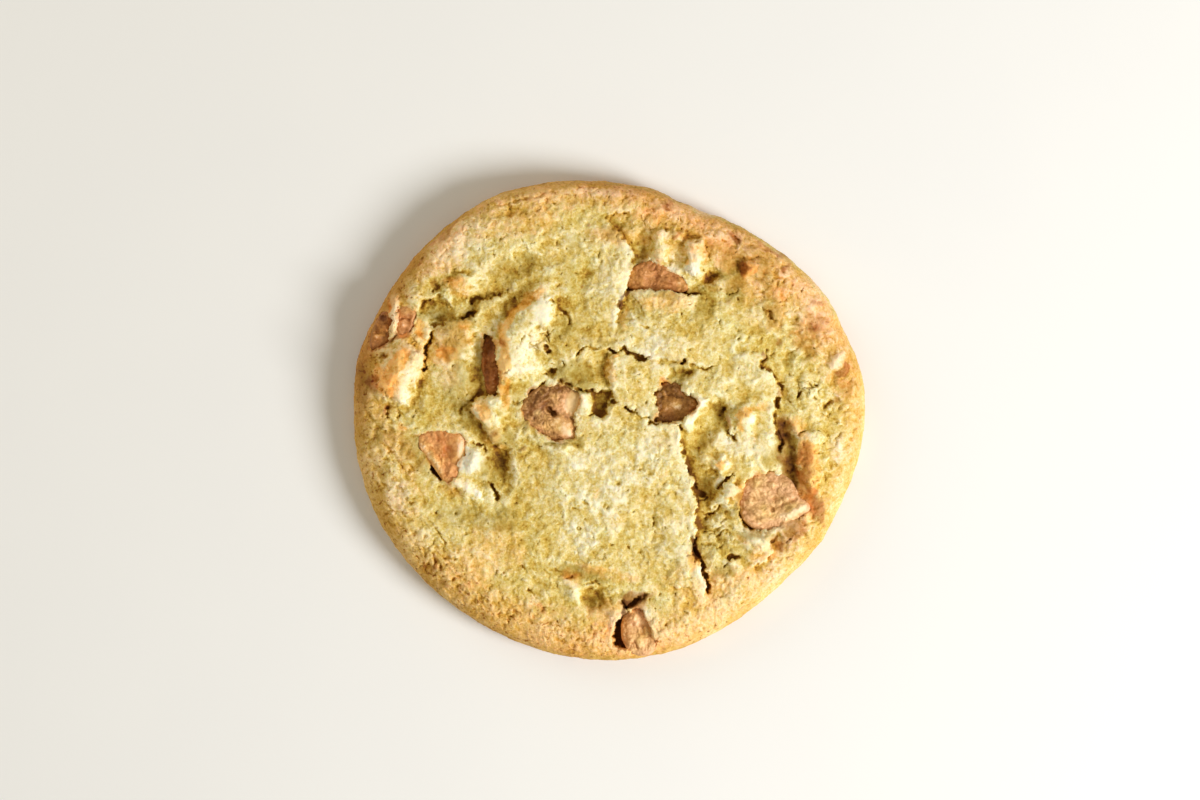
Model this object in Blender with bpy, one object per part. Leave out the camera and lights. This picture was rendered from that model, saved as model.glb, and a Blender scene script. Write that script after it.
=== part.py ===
"""A peanut butter cookie with nine baking chips showing in its cracked top.

The dough is one solid. Its outline is a round drawn slightly out of true, its top is a low dome
with plates, cliffs, ridges, hollows and cracks, and each chip lies in a pocket of its own shape.
The origin is on the table under the middle of the cookie. +X is its longer way, +Z is up.
"""

import math

import bmesh
import bpy
import numpy as np
from mathutils import Vector, noise

# Millimetres to metres: every size below is in millimetres
MM = 0.001

# Outline, seen from above: a mean radius, slow waves (waves a turn, height, degrees of a crest)
# and short knocks in or out (degrees, half width in degrees, height)
MEAN_RADIUS = 44.86
OUTLINE_WAVES = ((1, 0.78, 153), (2, 1.54, 174), (3, 0.83, 13), (4, 0.59, 13))
OUTLINE_KNOCKS = ((20, 6, -0.6), (68, 7, -0.5), (81, 5, 0.35), (117, 8, 0.4), (165, 8, 0.6), (330, 7, 0.6))

# Side profile: the widest line, the rounded shoulder above it and the rounded foot under it
WIDEST_HEIGHT = 3.0
SHOULDER_WIDTH = 6.0
SHOULDER_FULLNESS = 0.46
FOOT_RINGS = ((0.35, 1.9), (1.2, 0.8), (2.6, 0.0))
RIM_HEIGHT = 8.8
CROWN_HEIGHT = 10.0
LOWEST_FLOOR = 4.0

# Wandering of every edge and the unevenness of the baked skin, each as size and height of its lumps
WANDER = ((3.1, 0.55), (1.2, 0.22))
UNEVENNESS = ((6.5, 0.30), (2.4, 0.20), (1.1, 0.12))
LUMPS_SIZE = 2.1
LUMPS_HEIGHT = 0.75

# Which pattern of unevenness each use takes, so that no two are alike
PATTERN_STEP = 7.3
WANDER_X_PATTERN = 1
WANDER_Y_PATTERN = 4
LUMPS_PATTERN = 9
SKIN_PATTERN = 11
CHIP_PATTERN = 20

# Gap between a chip and its pocket, a little over 0.3 at the corners to keep it on the facets
GAP_ON_FACETS = 0.38

# The mesh: steps across the sheet before it is thinned out, how many times its share of them the
# shoulder gets, the triangles that stay, and what counts as the flat foot
SHEET_STEPS = 230
SHOULDER_STEPS = 1.3
DOUGH_TRIANGLES = 7200
FLAT_FOOT = 0.12

# Wide swells and hollows: x, y, half length, half width, turn in degrees, height
SWELLS = (
    (-15, 32.5, 16, 8, 12, 1.1),
    (-5.5, 25, 8.5, 6.5, -35, -1.4),
    (15, 16.5, 15, 8, 0, 0.6),
    (1, -13, 18, 15, 0, 1.0),
    (-28.5, 13.5, 5, 5, 0, 0.6),
    (-30.8, 20, 6, 3.2, 5, -1.9),
    (-28, 25.6, 5.5, 3, 0, 1.2),
    (-36.5, 22.5, 3, 3, 0, 0.7),
    (-23.2, 9.5, 9.5, 4, 97, -2.2),
    (-29.8, 3.5, 6, 5, 100, -0.8),
    (-19.4, -8.8, 7, 3.8, 95, -2.2),
    (-25, -7.6, 5, 4, 60, 1.2),
    (-22, 2.4, 3.4, 2.6, 0, 0.8),
    (24.6, 0.8, 3.6, 3.2, 0, 1.5),
    (27, -4.6, 5.5, 5, 0, 1.2),
    (18.6, -1.4, 8.5, 3.4, 52, -2.0),
    (32.8, -6, 9.5, 3.6, 96, -2.4),
    (17.6, -12.6, 4.8, 3.2, 100, -1.9),
    (19.5, -19.5, 9, 5.6, 92, -1.3),
    (20.2, -7.8, 3, 2.8, 0, 1.3),
    (26.2, -22.8, 4.6, 3.2, -20, 1.5),
    (20.6, -16.4, 2.8, 2.4, 0, 1.0),
    (22.2, -20.6, 2.6, 2.2, 0, 1.0),
    (21.8, 1.4, 4.6, 2.2, 115, -2.0),
    (13.2, 8.4, 2.9, 2.1, 25, -1.8),
    (-4.4, 9, 4.6, 3.4, 0, -0.9),
    (4, 7.4, 4.6, 3.6, 0, 0.6),
    (-2.6, -32.2, 4.4, 4.2, 0, -2.2),
    (-6.6, -31, 2.8, 3, 0, 0.9),
    (1, -35.5, 2.6, 2.2, 0, 0.9),
    (12.6, 33.2, 3.2, 3, 0, 0.9),
    (18.6, 26.4, 3.8, 2.8, 20, -2.0),
    (6.4, 31, 4.6, 2.8, 80, -1.6),
    (25.4, 27.6, 3.4, 3, 0, 1.3),
    (22.2, 28, 3, 1.8, 90, -0.9),
    (41.3, 10.6, 3, 1.9, 48, 0.9),
    (-12, 18, 5, 3.4, 55, 0.8),
    (36.4, 3.6, 4.4, 3.6, 60, 0.6),
    (-33.4, -27.4, 2.6, 1.8, 60, -0.7),
    (30, 20, 9, 6, 120, 0.5),
)

# Ridges: path, height, reach on the left of the path and on its right
RIDGES = (
    (((-10, 23.5), (-13, 22.2), (-16, 19.8), (-17.8, 17), (-18.8, 13.5), (-19, 9), (-18, 5.6)), 2.6, 7.5, 3.2),
    (((-41, 12), (-39.8, 9), (-38.7, 5), (-39, 1.5)), 1.7, 5, 3.5),
    (((15.4, 33), (17.3, 29.5), (15.2, 26)), 1.8, 2.4, 2.4),
    (((9.6, 34.5), (9.4, 28.6)), 1.7, 2.4, 2.4),
    (((12.8, -2.4), (15, 0.8), (18.4, 5)), 1.4, 2.8, 2.8),
    (((-39.6, 24.5), (-38.6, 21), (-38.8, 17.6), (-41, 13.8)), 1.6, 1.4, 1.5),
    (((36.6, -1), (37, -7), (36.6, -14)), 1.0, 2.8, 1.8),
    (((-27, 36.6), (-16, 40), (-7, 41.6)), 0.6, 1.6, 1.6),
)

# Cliffs: path with the high side on its left, drop, reach of the high side and of the low side
CLIFFS = (
    (((16.5, -35), (17.4, -31), (17.2, -28.5), (15.9, -26), (14.7, -23.5), (15.4, -20), (15.8, -15),
      (15.2, -10.6), (13.2, -7.6), (12.6, -3), (12, 0.6)), 2.7, 10, 7),
    (((0.6, 15.5), (1.2, 18.5), (2, 22), (3.6, 25), (4.5, 28.5), (3.9, 31), (1.2, 34), (-1, 38)), 2.2, 9, 6),
    (((17.6, 22.4), (14, 22.8), (10, 23.6), (5.6, 23.9), (2.6, 22.4)), 1.5, 8, 5),
    (((34, 2.6), (34.6, -2.5), (35.2, -8), (35, -14.6)), 2.6, 4, 4.5),
    (((32, -6.5), (30.6, -2.4), (30.2, 1), (30.8, 4.5), (29.6, 8), (27.4, 10.6), (27.8, 14.5)), 1.5, 7, 4),
    (((24, -27.8), (28, -25.6), (29.2, -23.4), (30.8, -20)), 1.4, 5, 4),
    (((-18.8, 6), (-22.5, 4.7), (-24.9, 3), (-24, 0.7), (-22.2, -1), (-21.4, -3.4), (-19, -4.6), (-15.4, -4.9)),
     2.1, 7, 5),
    (((-38, 0), (-34.6, 6), (-33.1, 9.5), (-32.9, 13.6), (-32.4, 18)), 1.6, 6, 4.5),
    (((-16, 23.4), (-20.6, 23), (-23.6, 21.4), (-25.2, 19), (-28.5, 18.3), (-33, 17)), 1.7, 5, 4.5),
    (((-36, 20), (-33.2, 21.6), (-30.8, 22.8), (-27, 22.2), (-23.5, 22.6)), 1.1, 3, 3),
    (((-8, 11.5), (-3, 13.2), (1, 12.5), (5, 11.4), (10, 11.4), (15, 9.9), (21, 9.6)), 0.7, 6, 5),
    (((13.4, -1.8), (9.5, -0.6), (5, 1.3), (0.8, 3.3)), -0.9, 5, 5),
    (((-4.6, 4.8), (-7.4, 6.6), (-10, 8.8), (-13, 8.2)), 1.0, 4, 4),
    (((0.2, 13.4), (-0.3, 9.6), (0.1, 5.2), (-0.2, 0.6)), 1.8, 5, 5),
    (((-30.6, -10.4), (-26, -12), (-22.4, -13.8), (-19.6, -15.6)), 0.9, 4, 4),
    (((24.6, -11.4), (22, -10.4), (20.4, -12.4), (18, -12)), -0.8, 3, 3),
    (((-2, 37), (1, 37.2), (5.6, 38.2), (10, 39)), 0.7, 3, 4),
)

# Cracks: path, width, depth
CRACKS = (
    (((-6.4, 11.4), (-4.8, 13.3), (-2, 13.1), (0.4, 12.5), (2.6, 13), (4.4, 11.8), (7.6, 11.8)), 0.9, 2.0),
    (((9.4, 11.8), (12.4, 10.6), (15, 9.8), (19.4, 10.2)), 0.7, 1.2),
    (((0.4, 3.4), (4.5, 1.8), (7.4, 0.1), (10, -0.7), (13.2, -1.8)), 0.8, 1.6),
    (((-13, 8.6), (-10, 9.2), (-7, 6.6), (-4, 4.9)), 0.9, 1.4),
    (((-17.6, 3.2), (-15.4, 3.5)), 0.6, 1.0),
    (((12.8, -7), (15.2, -10.6), (16, -13.6), (15.6, -18)), 1.0, 1.5),
    (((14.6, -20.4), (15.4, -23.4), (17, -27.4), (17.6, -32.4)), 1.2, 2.4),
    (((18.6, -12.2), (20.6, -12.2), (21.6, -10.5), (23.2, -10)), 0.8, 1.4),
    (((20.6, -27), (22.6, -25), (25, -26.8), (28.2, -25.6), (29.2, -22.6), (30.8, -20)), 0.8, 1.3),
    (((30.6, 15), (28.4, 13.4), (27.2, 10.5), (29.6, 8.2), (30.9, 5), (30.3, 0.4), (31.8, -4.4)), 1.0, 2.0),
    (((34.2, -3.4), (35.6, -1.8)), 0.8, 1.2),
    (((21, 2.6), (21.4, -0.6), (23.2, -4)), 0.9, 1.6),
    (((4, 28.6), (3.6, 24.6), (1.6, 20.4)), 0.9, 1.5),
    (((-1, 36.9), (2.4, 37.6), (5.4, 38.2)), 0.7, 1.0),
    (((3.6, 23.7), (8, 24), (12.4, 23.3), (17, 22.6)), 0.9, 1.8),
    (((21, 34.6), (24.6, 31.8), (28.4, 30.4)), 0.7, 0.8),
    (((-9, 21.8), (-7.4, 18.8), (-6.6, 16.8)), 0.6, 0.9),
    (((-9.6, 16.6), (-11.6, 14.6), (-11, 12.2), (-8.6, 10)), 0.9, 1.5),
    (((-20.4, 9), (-17.6, 9.1)), 0.8, 1.2),
    (((-19, -4.6), (-21.8, -3.4), (-24.6, 1), (-25, 3.2)), 0.8, 1.0),
    (((-25, -3.4), (-22.4, -4.6), (-21.2, -6.4)), 0.8, 1.2),
    (((-22.2, -10.6), (-20.8, -12.6), (-20, -14.4)), 0.9, 1.6),
    (((-32.2, 17.4), (-32.8, 13.8), (-33, 10), (-34.2, 7.6)), 1.0, 2.2),
    (((-43, 13), (-39.6, 14.4), (-37.4, 15.8), (-35.8, 18.2)), 0.9, 1.6),
    (((-39, 24.4), (-36.8, 23.4)), 0.8, 1.0),
    (((-33.4, 21.4), (-30.8, 22.9), (-28.4, 21.6), (-25.6, 19.4)), 0.8, 1.0),
    (((-43.4, 1.2), (-40.4, 1.4), (-37.6, 0.4), (-34.8, -1.2)), 0.8, 1.0),
    (((-42, -1.4), (-40, -5), (-37.4, -9)), 0.7, 0.7),
    (((-31.6, -19), (-30, -22.4)), 0.7, 0.7),
    (((-5.4, -29), (-1.6, -29.6)), 0.8, 1.0),
    (((1.6, -32.2), (3.2, -33.6), (5, -32.6), (7.8, -31.2)), 0.9, 1.8),
    (((3, -33.4), (2.2, -36.4), (1.8, -41)), 1.4, 2.4),
    (((6.6, -35.8), (8.2, -38.8), (7.6, -42.4)), 0.8, 1.4),
)

# The square hole in the middle, and small steep pits: x, y, half length, half width, turn, depth
SQUARE_PIT = (-1.7, 3.1, 2.3, 1.75, 88, 2.8)
SQUARE_POWER = 5
PITS = (
    (-10.4, 9, 1.2, 0.9, 30, 1.6),
    (22.4, -24.8, 1.5, 0.8, 15, 2.2),
    (15.2, -22.6, 2.4, 0.9, 105, 2.0),
    (16.6, -13, 2.2, 1.2, 100, 1.4),
    (16.4, 22.6, 1.2, 0.7, 0, 1.4),
    (-25.6, 19.6, 1.4, 1, 30, 1.5),
    (34, 4.7, 0.9, 0.7, 30, 1.2),
    (37, 6.6, 0.9, 0.8, 0, 1.2),
    (7.8, -17.6, 1.2, 0.6, 110, 0.8),
    (-32.8, -27.6, 1.3, 0.7, 80, 0.8),
)
PIT_SLOPE = 0.15

# The share of a ridge, cliff or crack over which each of its ends runs out
RUN_OUT = 0.18

# Broken, lumpy ground where the skin has torn: x, y, half length, half width, turn
TORN_GROUND = (
    (19.6, -18, 10.5, 4.6, 92),
    (35.4, 5.2, 5.6, 4.4, 70),
    (-13, 16, 7, 4, 60),
    (-7.5, 11, 5, 3, 0),
    (33, 18, 7, 5, 100),
    (19, -3.5, 5.5, 4, 60),
    (-40, 16.6, 4, 2.6, 70),
)

# Chips: centre, half length, half width, turn, height of the top, thickness, waves of the outline
# (waves a turn, share, degrees), unevenness, and the dough's opening over it: centre, half
# length, half width, turn, and the level of the dough along the chip's side
CHIPS = {
    "chip_upper": dict(at=(8.8, 25.4), half=(5.7, 3.3), turn=-8, top=9.3, thick=4.2,
                       waves=((3, 0.08, 40),), rough=0.22,
                       opening=(8.8, 25.9, 5.5, 2.6, -8, 8.4)),
    "chip_rim_outer": dict(at=(-41.2, 16.6), half=(3.1, 1.5), turn=72, top=8.0, thick=3.2,
                           waves=((3, 0.1, 10),), rough=0.3,
                           opening=(-41.2, 16.6, 3.0, 1.4, 72, 7.2)),
    "chip_rim_inner": dict(at=(-36.9, 18.1), half=(2.5, 1.5), turn=68, top=9.2, thick=3.4,
                           waves=((2, 0.06, 20),), rough=0.18,
                           opening=(-36.9, 18.1, 2.5, 1.45, 68, 8.3)),
    "chip_under_ridge": dict(at=(-21.3, 10), half=(5.6, 1.9), turn=91, top=8.7, thick=3.8,
                             waves=((3, 0.06, 0),), rough=0.15,
                             opening=(-21.6, 10, 5.5, 1.45, 91, 7.9)),
    "chip_left_middle": dict(at=(-10.4, 1.2), half=(6.0, 5.0), turn=-14, top=10.2, thick=5.0,
                             waves=((2, 0.05, 45), (3, 0.07, 200)), rough=0.3,
                             opening=(-10.8, 1.2, 5.9, 4.9, -20, 9.0)),
    "chip_middle": dict(at=(12, 3.2), half=(4.2, 3.6), turn=12, top=8.9, thick=4.2,
                        waves=((3, 0.09, 10), (4, 0.06, 10)), rough=0.2,
                        opening=(12, 3.4, 4.2, 3.6, 12, 7.9)),
    "chip_left_low": dict(at=(-30.3, -5.9), half=(4.5, 4.1), turn=-35, top=10.3, thick=4.6,
                          waves=((3, 0.13, 160),), rough=0.2,
                          opening=(-30.3, -5.9, 4.4, 4.0, -35, 9.0)),
    "chip_right": dict(at=(29, -14.4), half=(5.0, 4.9), turn=0, top=9.7, thick=3.8,
                       waves=((2, 0.02, 0),), rough=0.22,
                       opening=(29.2, -14.5, 5.2, 5.0, 0, 8.4)),
    "chip_bottom": dict(at=(5.4, -38.2), half=(3.9, 2.7), turn=82, top=7.9, thick=4.0,
                        waves=((3, 0.08, 90),), rough=0.2,
                        opening=(5.3, -38.1, 3.8, 2.6, 82, 6.8)),
}
CHIP_SEGMENTS = 18
CHIP_RINGS = 9
CHIP_FULLNESS = 0.75
CHIP_UNEVEN_SIZE = 2.2
OPENING_SLOPE = 0.7

# Holes sunk into the top of a chip: chip, x, y, half length, half width, turn, depth
CHIP_HOLES = (("chip_left_middle", -10.3, 1.4, 1.2, 0.8, -35, 1.6),)

# The curled tail that leaves the round chip on the right: its path, half thickness, how much of that
# is left at its tip, the height of its top, and the width of a seam that is closed
TAILED_CHIP = "chip_right"
TAIL = ((30, -17.6), (32.2, -16.6), (34.4, -15.4), (36, -15.7))
TAIL_RADIUS = 1.3
TAIL_TIP_SHARE = 0.6
TAIL_HEIGHT = 9.6
TAIL_FACETS = 2
SEAM = 0.01

# Colours (linear red, green, blue) and finish
DOUGH_COLOR = (0.66, 0.42, 0.15, 1)
CHIP_COLORS = {
    "chip_upper": (0.42, 0.17, 0.08, 1),
    "chip_rim_outer": (0.30, 0.13, 0.06, 1),
    "chip_rim_inner": (0.50, 0.25, 0.13, 1),
    "chip_under_ridge": (0.20, 0.07, 0.03, 1),
    "chip_left_middle": (0.45, 0.20, 0.08, 1),
    "chip_middle": (0.24, 0.10, 0.05, 1),
    "chip_left_low": (0.58, 0.31, 0.16, 1),
    "chip_right": (0.52, 0.27, 0.15, 1),
    "chip_bottom": (0.50, 0.27, 0.14, 1),
}
DOUGH_ROUGHNESS = 0.85
CHIP_ROUGHNESS = 0.6


def clear_scene():
    for old in list(bpy.data.objects):
        bpy.data.objects.remove(old)


def eased(value):
    step = np.clip(value, 0, 1)
    return step * step * (3 - 2 * step)


def bell(value):
    return np.clip(1 - value * value, 0, 1) ** 2


# Smooth noise between -1 and 1 whose lumps are about `size` across
def uneven(x, y, size, pattern):
    points = zip(x / size, y / size)
    return np.array([noise.noise(Vector((u, v, PATTERN_STEP * pattern))) for u, v in points])


def outline_radius(angle):
    radius = np.full_like(angle, MEAN_RADIUS)
    for count, height, crest in OUTLINE_WAVES:
        radius += height * np.cos(count * (angle - math.radians(crest)))
    for middle, width, height in OUTLINE_KNOCKS:
        away = np.degrees(np.angle(np.exp(1j * (angle - math.radians(middle)))))
        radius += height * np.exp(-((away / width) ** 2))
    return radius


# Distance from a path, on which side of it (1 left, -1 right), and the place along it from 0 to 1
def from_path(x, y, path):
    best = np.full(x.shape, np.inf)
    side = np.ones(x.shape)
    place = np.zeros(x.shape)
    lengths = [math.dist(a, b) for a, b in zip(path, path[1:])]
    walked = 0.0
    for (ax, ay), (bx, by), length in zip(path, path[1:], lengths):
        ux, uy = (bx - ax) / length, (by - ay) / length
        run = np.clip((x - ax) * ux + (y - ay) * uy, 0, length)
        away = np.hypot(x - ax - run * ux, y - ay - run * uy)
        nearer = away < best
        best = np.where(nearer, away, best)
        side = np.where(nearer, np.where(ux * (y - ay) - uy * (x - ax) >= 0, 1, -1), side)
        place = np.where(nearer, (walked + run) / sum(lengths), place)
        walked += length
    return best, side, place


# 1 along a path, easing to 0 at both of its ends
def tapered(place):
    return eased(place / RUN_OUT) * eased((1 - place) / RUN_OUT)


# Distance from the middle of a turned ellipse, where 1 is on its edge; a higher power makes it squarer
def in_ellipse(x, y, middle_x, middle_y, half_x, half_y, turn, power=2):
    cos, sin = math.cos(math.radians(turn)), math.sin(math.radians(turn))
    along = np.abs((x - middle_x) * cos + (y - middle_y) * sin) / half_x
    across = np.abs((y - middle_y) * cos - (x - middle_x) * sin) / half_y
    return (along**power + across**power) ** (1 / power)


# The same place pushed about a little, which makes every edge ragged
def wandered(x, y):
    moved_x, moved_y = x.copy(), y.copy()
    for layer, (size, amount) in enumerate(WANDER):
        moved_x += amount * uneven(x, y, size, layer + WANDER_X_PATTERN)
        moved_y += amount * uneven(x, y, size, layer + WANDER_Y_PATTERN)
    return moved_x, moved_y


def relief(x, y, wander_x, wander_y):
    height = np.zeros_like(x)
    for middle_x, middle_y, half_x, half_y, turn, lift in SWELLS:
        height += lift * bell(in_ellipse(wander_x, wander_y, middle_x, middle_y, half_x, half_y, turn))
    for path, lift, left_reach, right_reach in RIDGES:
        away, side, place = from_path(wander_x, wander_y, path)
        height += lift * bell(away / np.where(side > 0, left_reach, right_reach)) * tapered(place)
    for path, drop, high_reach, low_reach in CLIFFS:
        away, side, place = from_path(wander_x, wander_y, path)
        reach = np.where(side > 0, high_reach, low_reach)
        height += side * drop / 2 * bell(away / reach) * tapered(place)
    for path, width, depth in CRACKS:
        away, side, place = from_path(wander_x, wander_y, path)
        height -= depth * bell(away / width) * tapered(place)
    for middle_x, middle_y, half_x, half_y, turn, depth in PITS:
        inside = in_ellipse(wander_x, wander_y, middle_x, middle_y, half_x, half_y, turn)
        height -= depth * eased((1 + PIT_SLOPE - inside) / (3 * PIT_SLOPE))
    *place, depth = SQUARE_PIT
    inside = in_ellipse(wander_x, wander_y, *place, SQUARE_POWER)
    height -= depth * eased((1 + PIT_SLOPE - inside) / (2 * PIT_SLOPE))
    torn = np.zeros_like(x)
    for middle_x, middle_y, half_x, half_y, turn in TORN_GROUND:
        torn = np.maximum(torn, bell(in_ellipse(x, y, middle_x, middle_y, half_x, half_y, turn)))
    height += LUMPS_HEIGHT * torn * uneven(x, y, LUMPS_SIZE, LUMPS_PATTERN)
    for layer, (size, amount) in enumerate(UNEVENNESS):
        height += amount * uneven(x, y, size, layer + SKIN_PATTERN)
    return height


# Height of the dough's top at each point, `inward` being the distance in from the outline
def top_height(x, y, inward):
    share = np.clip(np.hypot(x, y) / MEAN_RADIUS, 0, 1)
    wander_x, wander_y = wandered(x, y)
    height = RIM_HEIGHT + (CROWN_HEIGHT - RIM_HEIGHT) * (1 - share**2)
    height = height + relief(x, y, wander_x, wander_y)
    for chip in CHIPS.values():
        middle_x, middle_y, half_x, half_y, turn, level = chip["opening"]
        inside = in_ellipse(wander_x, wander_y, middle_x, middle_y, half_x, half_y, turn)
        past_edge = (inside - 1) * min(half_x, half_y)
        open_share = eased(1 - past_edge / OPENING_SLOPE)
        height = height + (np.minimum(height, level) - height) * open_share
    height = np.maximum(height, LOWEST_FLOOR)
    shoulder = np.clip(1 - inward / SHOULDER_WIDTH, 0, 1)
    return WIDEST_HEIGHT + (height - WIDEST_HEIGHT) * (1 - shoulder**2) ** SHOULDER_FULLNESS


def coords_of(mesh):
    flat = np.empty(len(mesh.verts) * 3)
    for index, vert in enumerate(mesh.verts):
        flat[3 * index:3 * index + 3] = vert.co
    return flat.reshape(-1, 3)


def new_object(name, mesh, color, roughness):
    data = bpy.data.meshes.new(name)
    mesh.to_mesh(data)
    mesh.free()
    obj = bpy.data.objects.new(name, data)
    bpy.context.scene.collection.objects.link(obj)
    data.shade_smooth()
    material = bpy.data.materials.new(name)
    material.use_nodes = True
    shader = material.node_tree.nodes["Principled BSDF"]
    shader.inputs["Base Color"].default_value = color
    shader.inputs["Roughness"].default_value = roughness
    shader.inputs["Metallic"].default_value = 0.0
    data.materials.append(material)
    return obj


def apply_modifiers(obj):
    graph = bpy.context.evaluated_depsgraph_get()
    shaped = bpy.data.meshes.new_from_object(obj.evaluated_get(graph))
    old = obj.data
    obj.modifiers.clear()
    obj.data = shaped
    bpy.data.meshes.remove(old)


# The dough: a square sheet eased to a disc, pulled to the outline and raised to its relief, then
# its edge drawn down and in to the flat foot
def dough_sheet():
    mesh = bmesh.new()
    bmesh.ops.create_grid(mesh, x_segments=SHEET_STEPS, y_segments=SHEET_STEPS, size=1.0)
    flat = coords_of(mesh)
    disc_x = flat[:, 0] * np.sqrt(1 - flat[:, 1] ** 2 / 2)
    disc_y = flat[:, 1] * np.sqrt(1 - flat[:, 0] ** 2 / 2)
    angle = np.arctan2(disc_y, disc_x)
    share = np.minimum(np.hypot(disc_x, disc_y), 1)
    edge = outline_radius(angle)
    # Even steps on the flat, then even turns of the shoulder, whose side would be too coarse
    shoulder_share = SHOULDER_STEPS * SHOULDER_WIDTH / MEAN_RADIUS
    turned = np.clip((share - 1 + shoulder_share) / shoulder_share, 0, 1)
    inner = edge - SHOULDER_WIDTH
    radius = np.where(turned > 0,
                      inner + SHOULDER_WIDTH * np.sin(turned * math.pi / 2),
                      inner * share / (1 - shoulder_share))
    x, y = radius * np.cos(angle), radius * np.sin(angle)
    z = top_height(x, y, edge - radius)
    for vert, place in zip(mesh.verts, np.stack([x, y, z], axis=1) * MM):
        vert.co = place
    rim = [e for e in mesh.edges if e.is_boundary]
    for inset, height in FOOT_RINGS:
        ring = bmesh.ops.extrude_edge_only(mesh, edges=rim)["geom"]
        rim = [item for item in ring if isinstance(item, bmesh.types.BMEdge) and item.is_boundary]
        for vert in {v for e in rim for v in e.verts}:
            place = np.array([math.atan2(vert.co.y, vert.co.x)])
            reach = (outline_radius(place)[0] - inset) * MM
            vert.co = (reach * math.cos(place[0]), reach * math.sin(place[0]), height * MM)
    bmesh.ops.contextual_create(mesh, geom=rim)
    bmesh.ops.triangulate(mesh, faces=mesh.faces)
    bmesh.ops.recalc_face_normals(mesh, faces=mesh.faces)
    return mesh


def flatten_foot(obj):
    for vert in obj.data.vertices:
        if vert.co.z < FLAT_FOOT * MM:
            vert.co.z = 0


def make_dough():
    dough = new_object("cookie_dough", dough_sheet(), DOUGH_COLOR, DOUGH_ROUGHNESS)
    thinned = dough.modifiers.new("thinned", "DECIMATE")
    thinned.ratio = DOUGH_TRIANGLES / len(dough.data.polygons)
    apply_modifiers(dough)
    flatten_foot(dough)
    return dough


# A chip: a sphere drawn out to a blunt lens with a wavy outline, and knocked uneven
def make_chip(name, chip, layer):
    mesh = bmesh.new()
    bmesh.ops.create_uvsphere(mesh, u_segments=CHIP_SEGMENTS, v_segments=CHIP_RINGS, radius=1)
    unit = coords_of(mesh)
    angle = np.arctan2(unit[:, 1], unit[:, 0])
    level = np.clip(np.hypot(unit[:, 0], unit[:, 1]), 0, 1) ** CHIP_FULLNESS
    for count, share, crest in chip["waves"]:
        level = level * (1 + share * np.cos(count * (angle - math.radians(crest))))
    depth = np.sign(unit[:, 2]) * np.abs(unit[:, 2]) ** CHIP_FULLNESS
    turn = math.radians(chip["turn"])
    along = level * np.cos(angle) * chip["half"][0]
    across = level * np.sin(angle) * chip["half"][1]
    x = chip["at"][0] + along * math.cos(turn) - across * math.sin(turn)
    y = chip["at"][1] + along * math.sin(turn) + across * math.cos(turn)
    z = chip["top"] - chip["thick"] / 2 * (1 - depth)
    lumps = uneven(x, y, CHIP_UNEVEN_SIZE, layer + CHIP_PATTERN)
    z = z + chip["rough"] * lumps * np.clip(unit[:, 2], 0, 1)
    for owner, middle_x, middle_y, half_x, half_y, hole_turn, hole_depth in CHIP_HOLES:
        if owner == name:
            inside = in_ellipse(x, y, middle_x, middle_y, half_x, half_y, hole_turn)
            z = z - hole_depth * bell(inside) * (unit[:, 2] > 0)
    for vert, place in zip(mesh.verts, np.stack([x, y, z], axis=1) * MM):
        vert.co = place
    return new_object(name, mesh, CHIP_COLORS[name], CHIP_ROUGHNESS)


# The curled tail of the round chip, a bent bar
def make_tail():
    curve = bpy.data.curves.new("tail_curve", "CURVE")
    curve.dimensions = "3D"
    curve.bevel_depth = TAIL_RADIUS * MM
    curve.bevel_resolution = TAIL_FACETS
    curve.use_fill_caps = True
    line = curve.splines.new("POLY")
    line.points.add(len(TAIL) - 1)
    for point, (x, y) in zip(line.points, TAIL):
        point.co = (x * MM, y * MM, (TAIL_HEIGHT - TAIL_RADIUS) * MM, 1)
    line.points[-1].radius = TAIL_TIP_SHARE
    bar = bpy.data.objects.new("tail_curve", curve)
    bpy.context.scene.collection.objects.link(bar)
    graph = bpy.context.evaluated_depsgraph_get()
    tail = bpy.data.objects.new("tail", bpy.data.meshes.new_from_object(bar.evaluated_get(graph)))
    bpy.context.scene.collection.objects.link(tail)
    bpy.data.objects.remove(bar)
    # The end caps come apart from the sides, so the seams are closed
    mesh = bmesh.new()
    mesh.from_mesh(tail.data)
    bmesh.ops.remove_doubles(mesh, verts=mesh.verts, dist=SEAM * MM)
    mesh.to_mesh(tail.data)
    mesh.free()
    return tail


def melt_together(chip, tail):
    joined = chip.modifiers.new("tail", "BOOLEAN")
    joined.operation = "UNION"
    joined.object = tail
    apply_modifiers(chip)
    bpy.data.objects.remove(tail)


# A pocket in the dough, cut by the chip grown by the gap
def cut_pocket(dough, chip):
    cutter = bpy.data.objects.new(chip.name + "_pocket", chip.data.copy())
    bpy.context.scene.collection.objects.link(cutter)
    grown = cutter.modifiers.new("grown", "DISPLACE")
    grown.strength = GAP_ON_FACETS * MM
    grown.mid_level = 0
    cutter.display_type = "WIRE"
    cutter.hide_render = True
    apply_modifiers(cutter)
    pocket = dough.modifiers.new(chip.name, "BOOLEAN")
    pocket.operation = "DIFFERENCE"
    pocket.object = cutter


def build():
    clear_scene()
    dough = make_dough()
    for layer, (name, chip) in enumerate(CHIPS.items()):
        solid = make_chip(name, chip, layer)
        cut_pocket(dough, solid)
        if name == TAILED_CHIP:
            tail = make_tail()
            cut_pocket(dough, tail)
            melt_together(solid, tail)


build()
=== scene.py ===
import math

import bpy
import numpy as np
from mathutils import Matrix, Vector, noise


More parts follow.
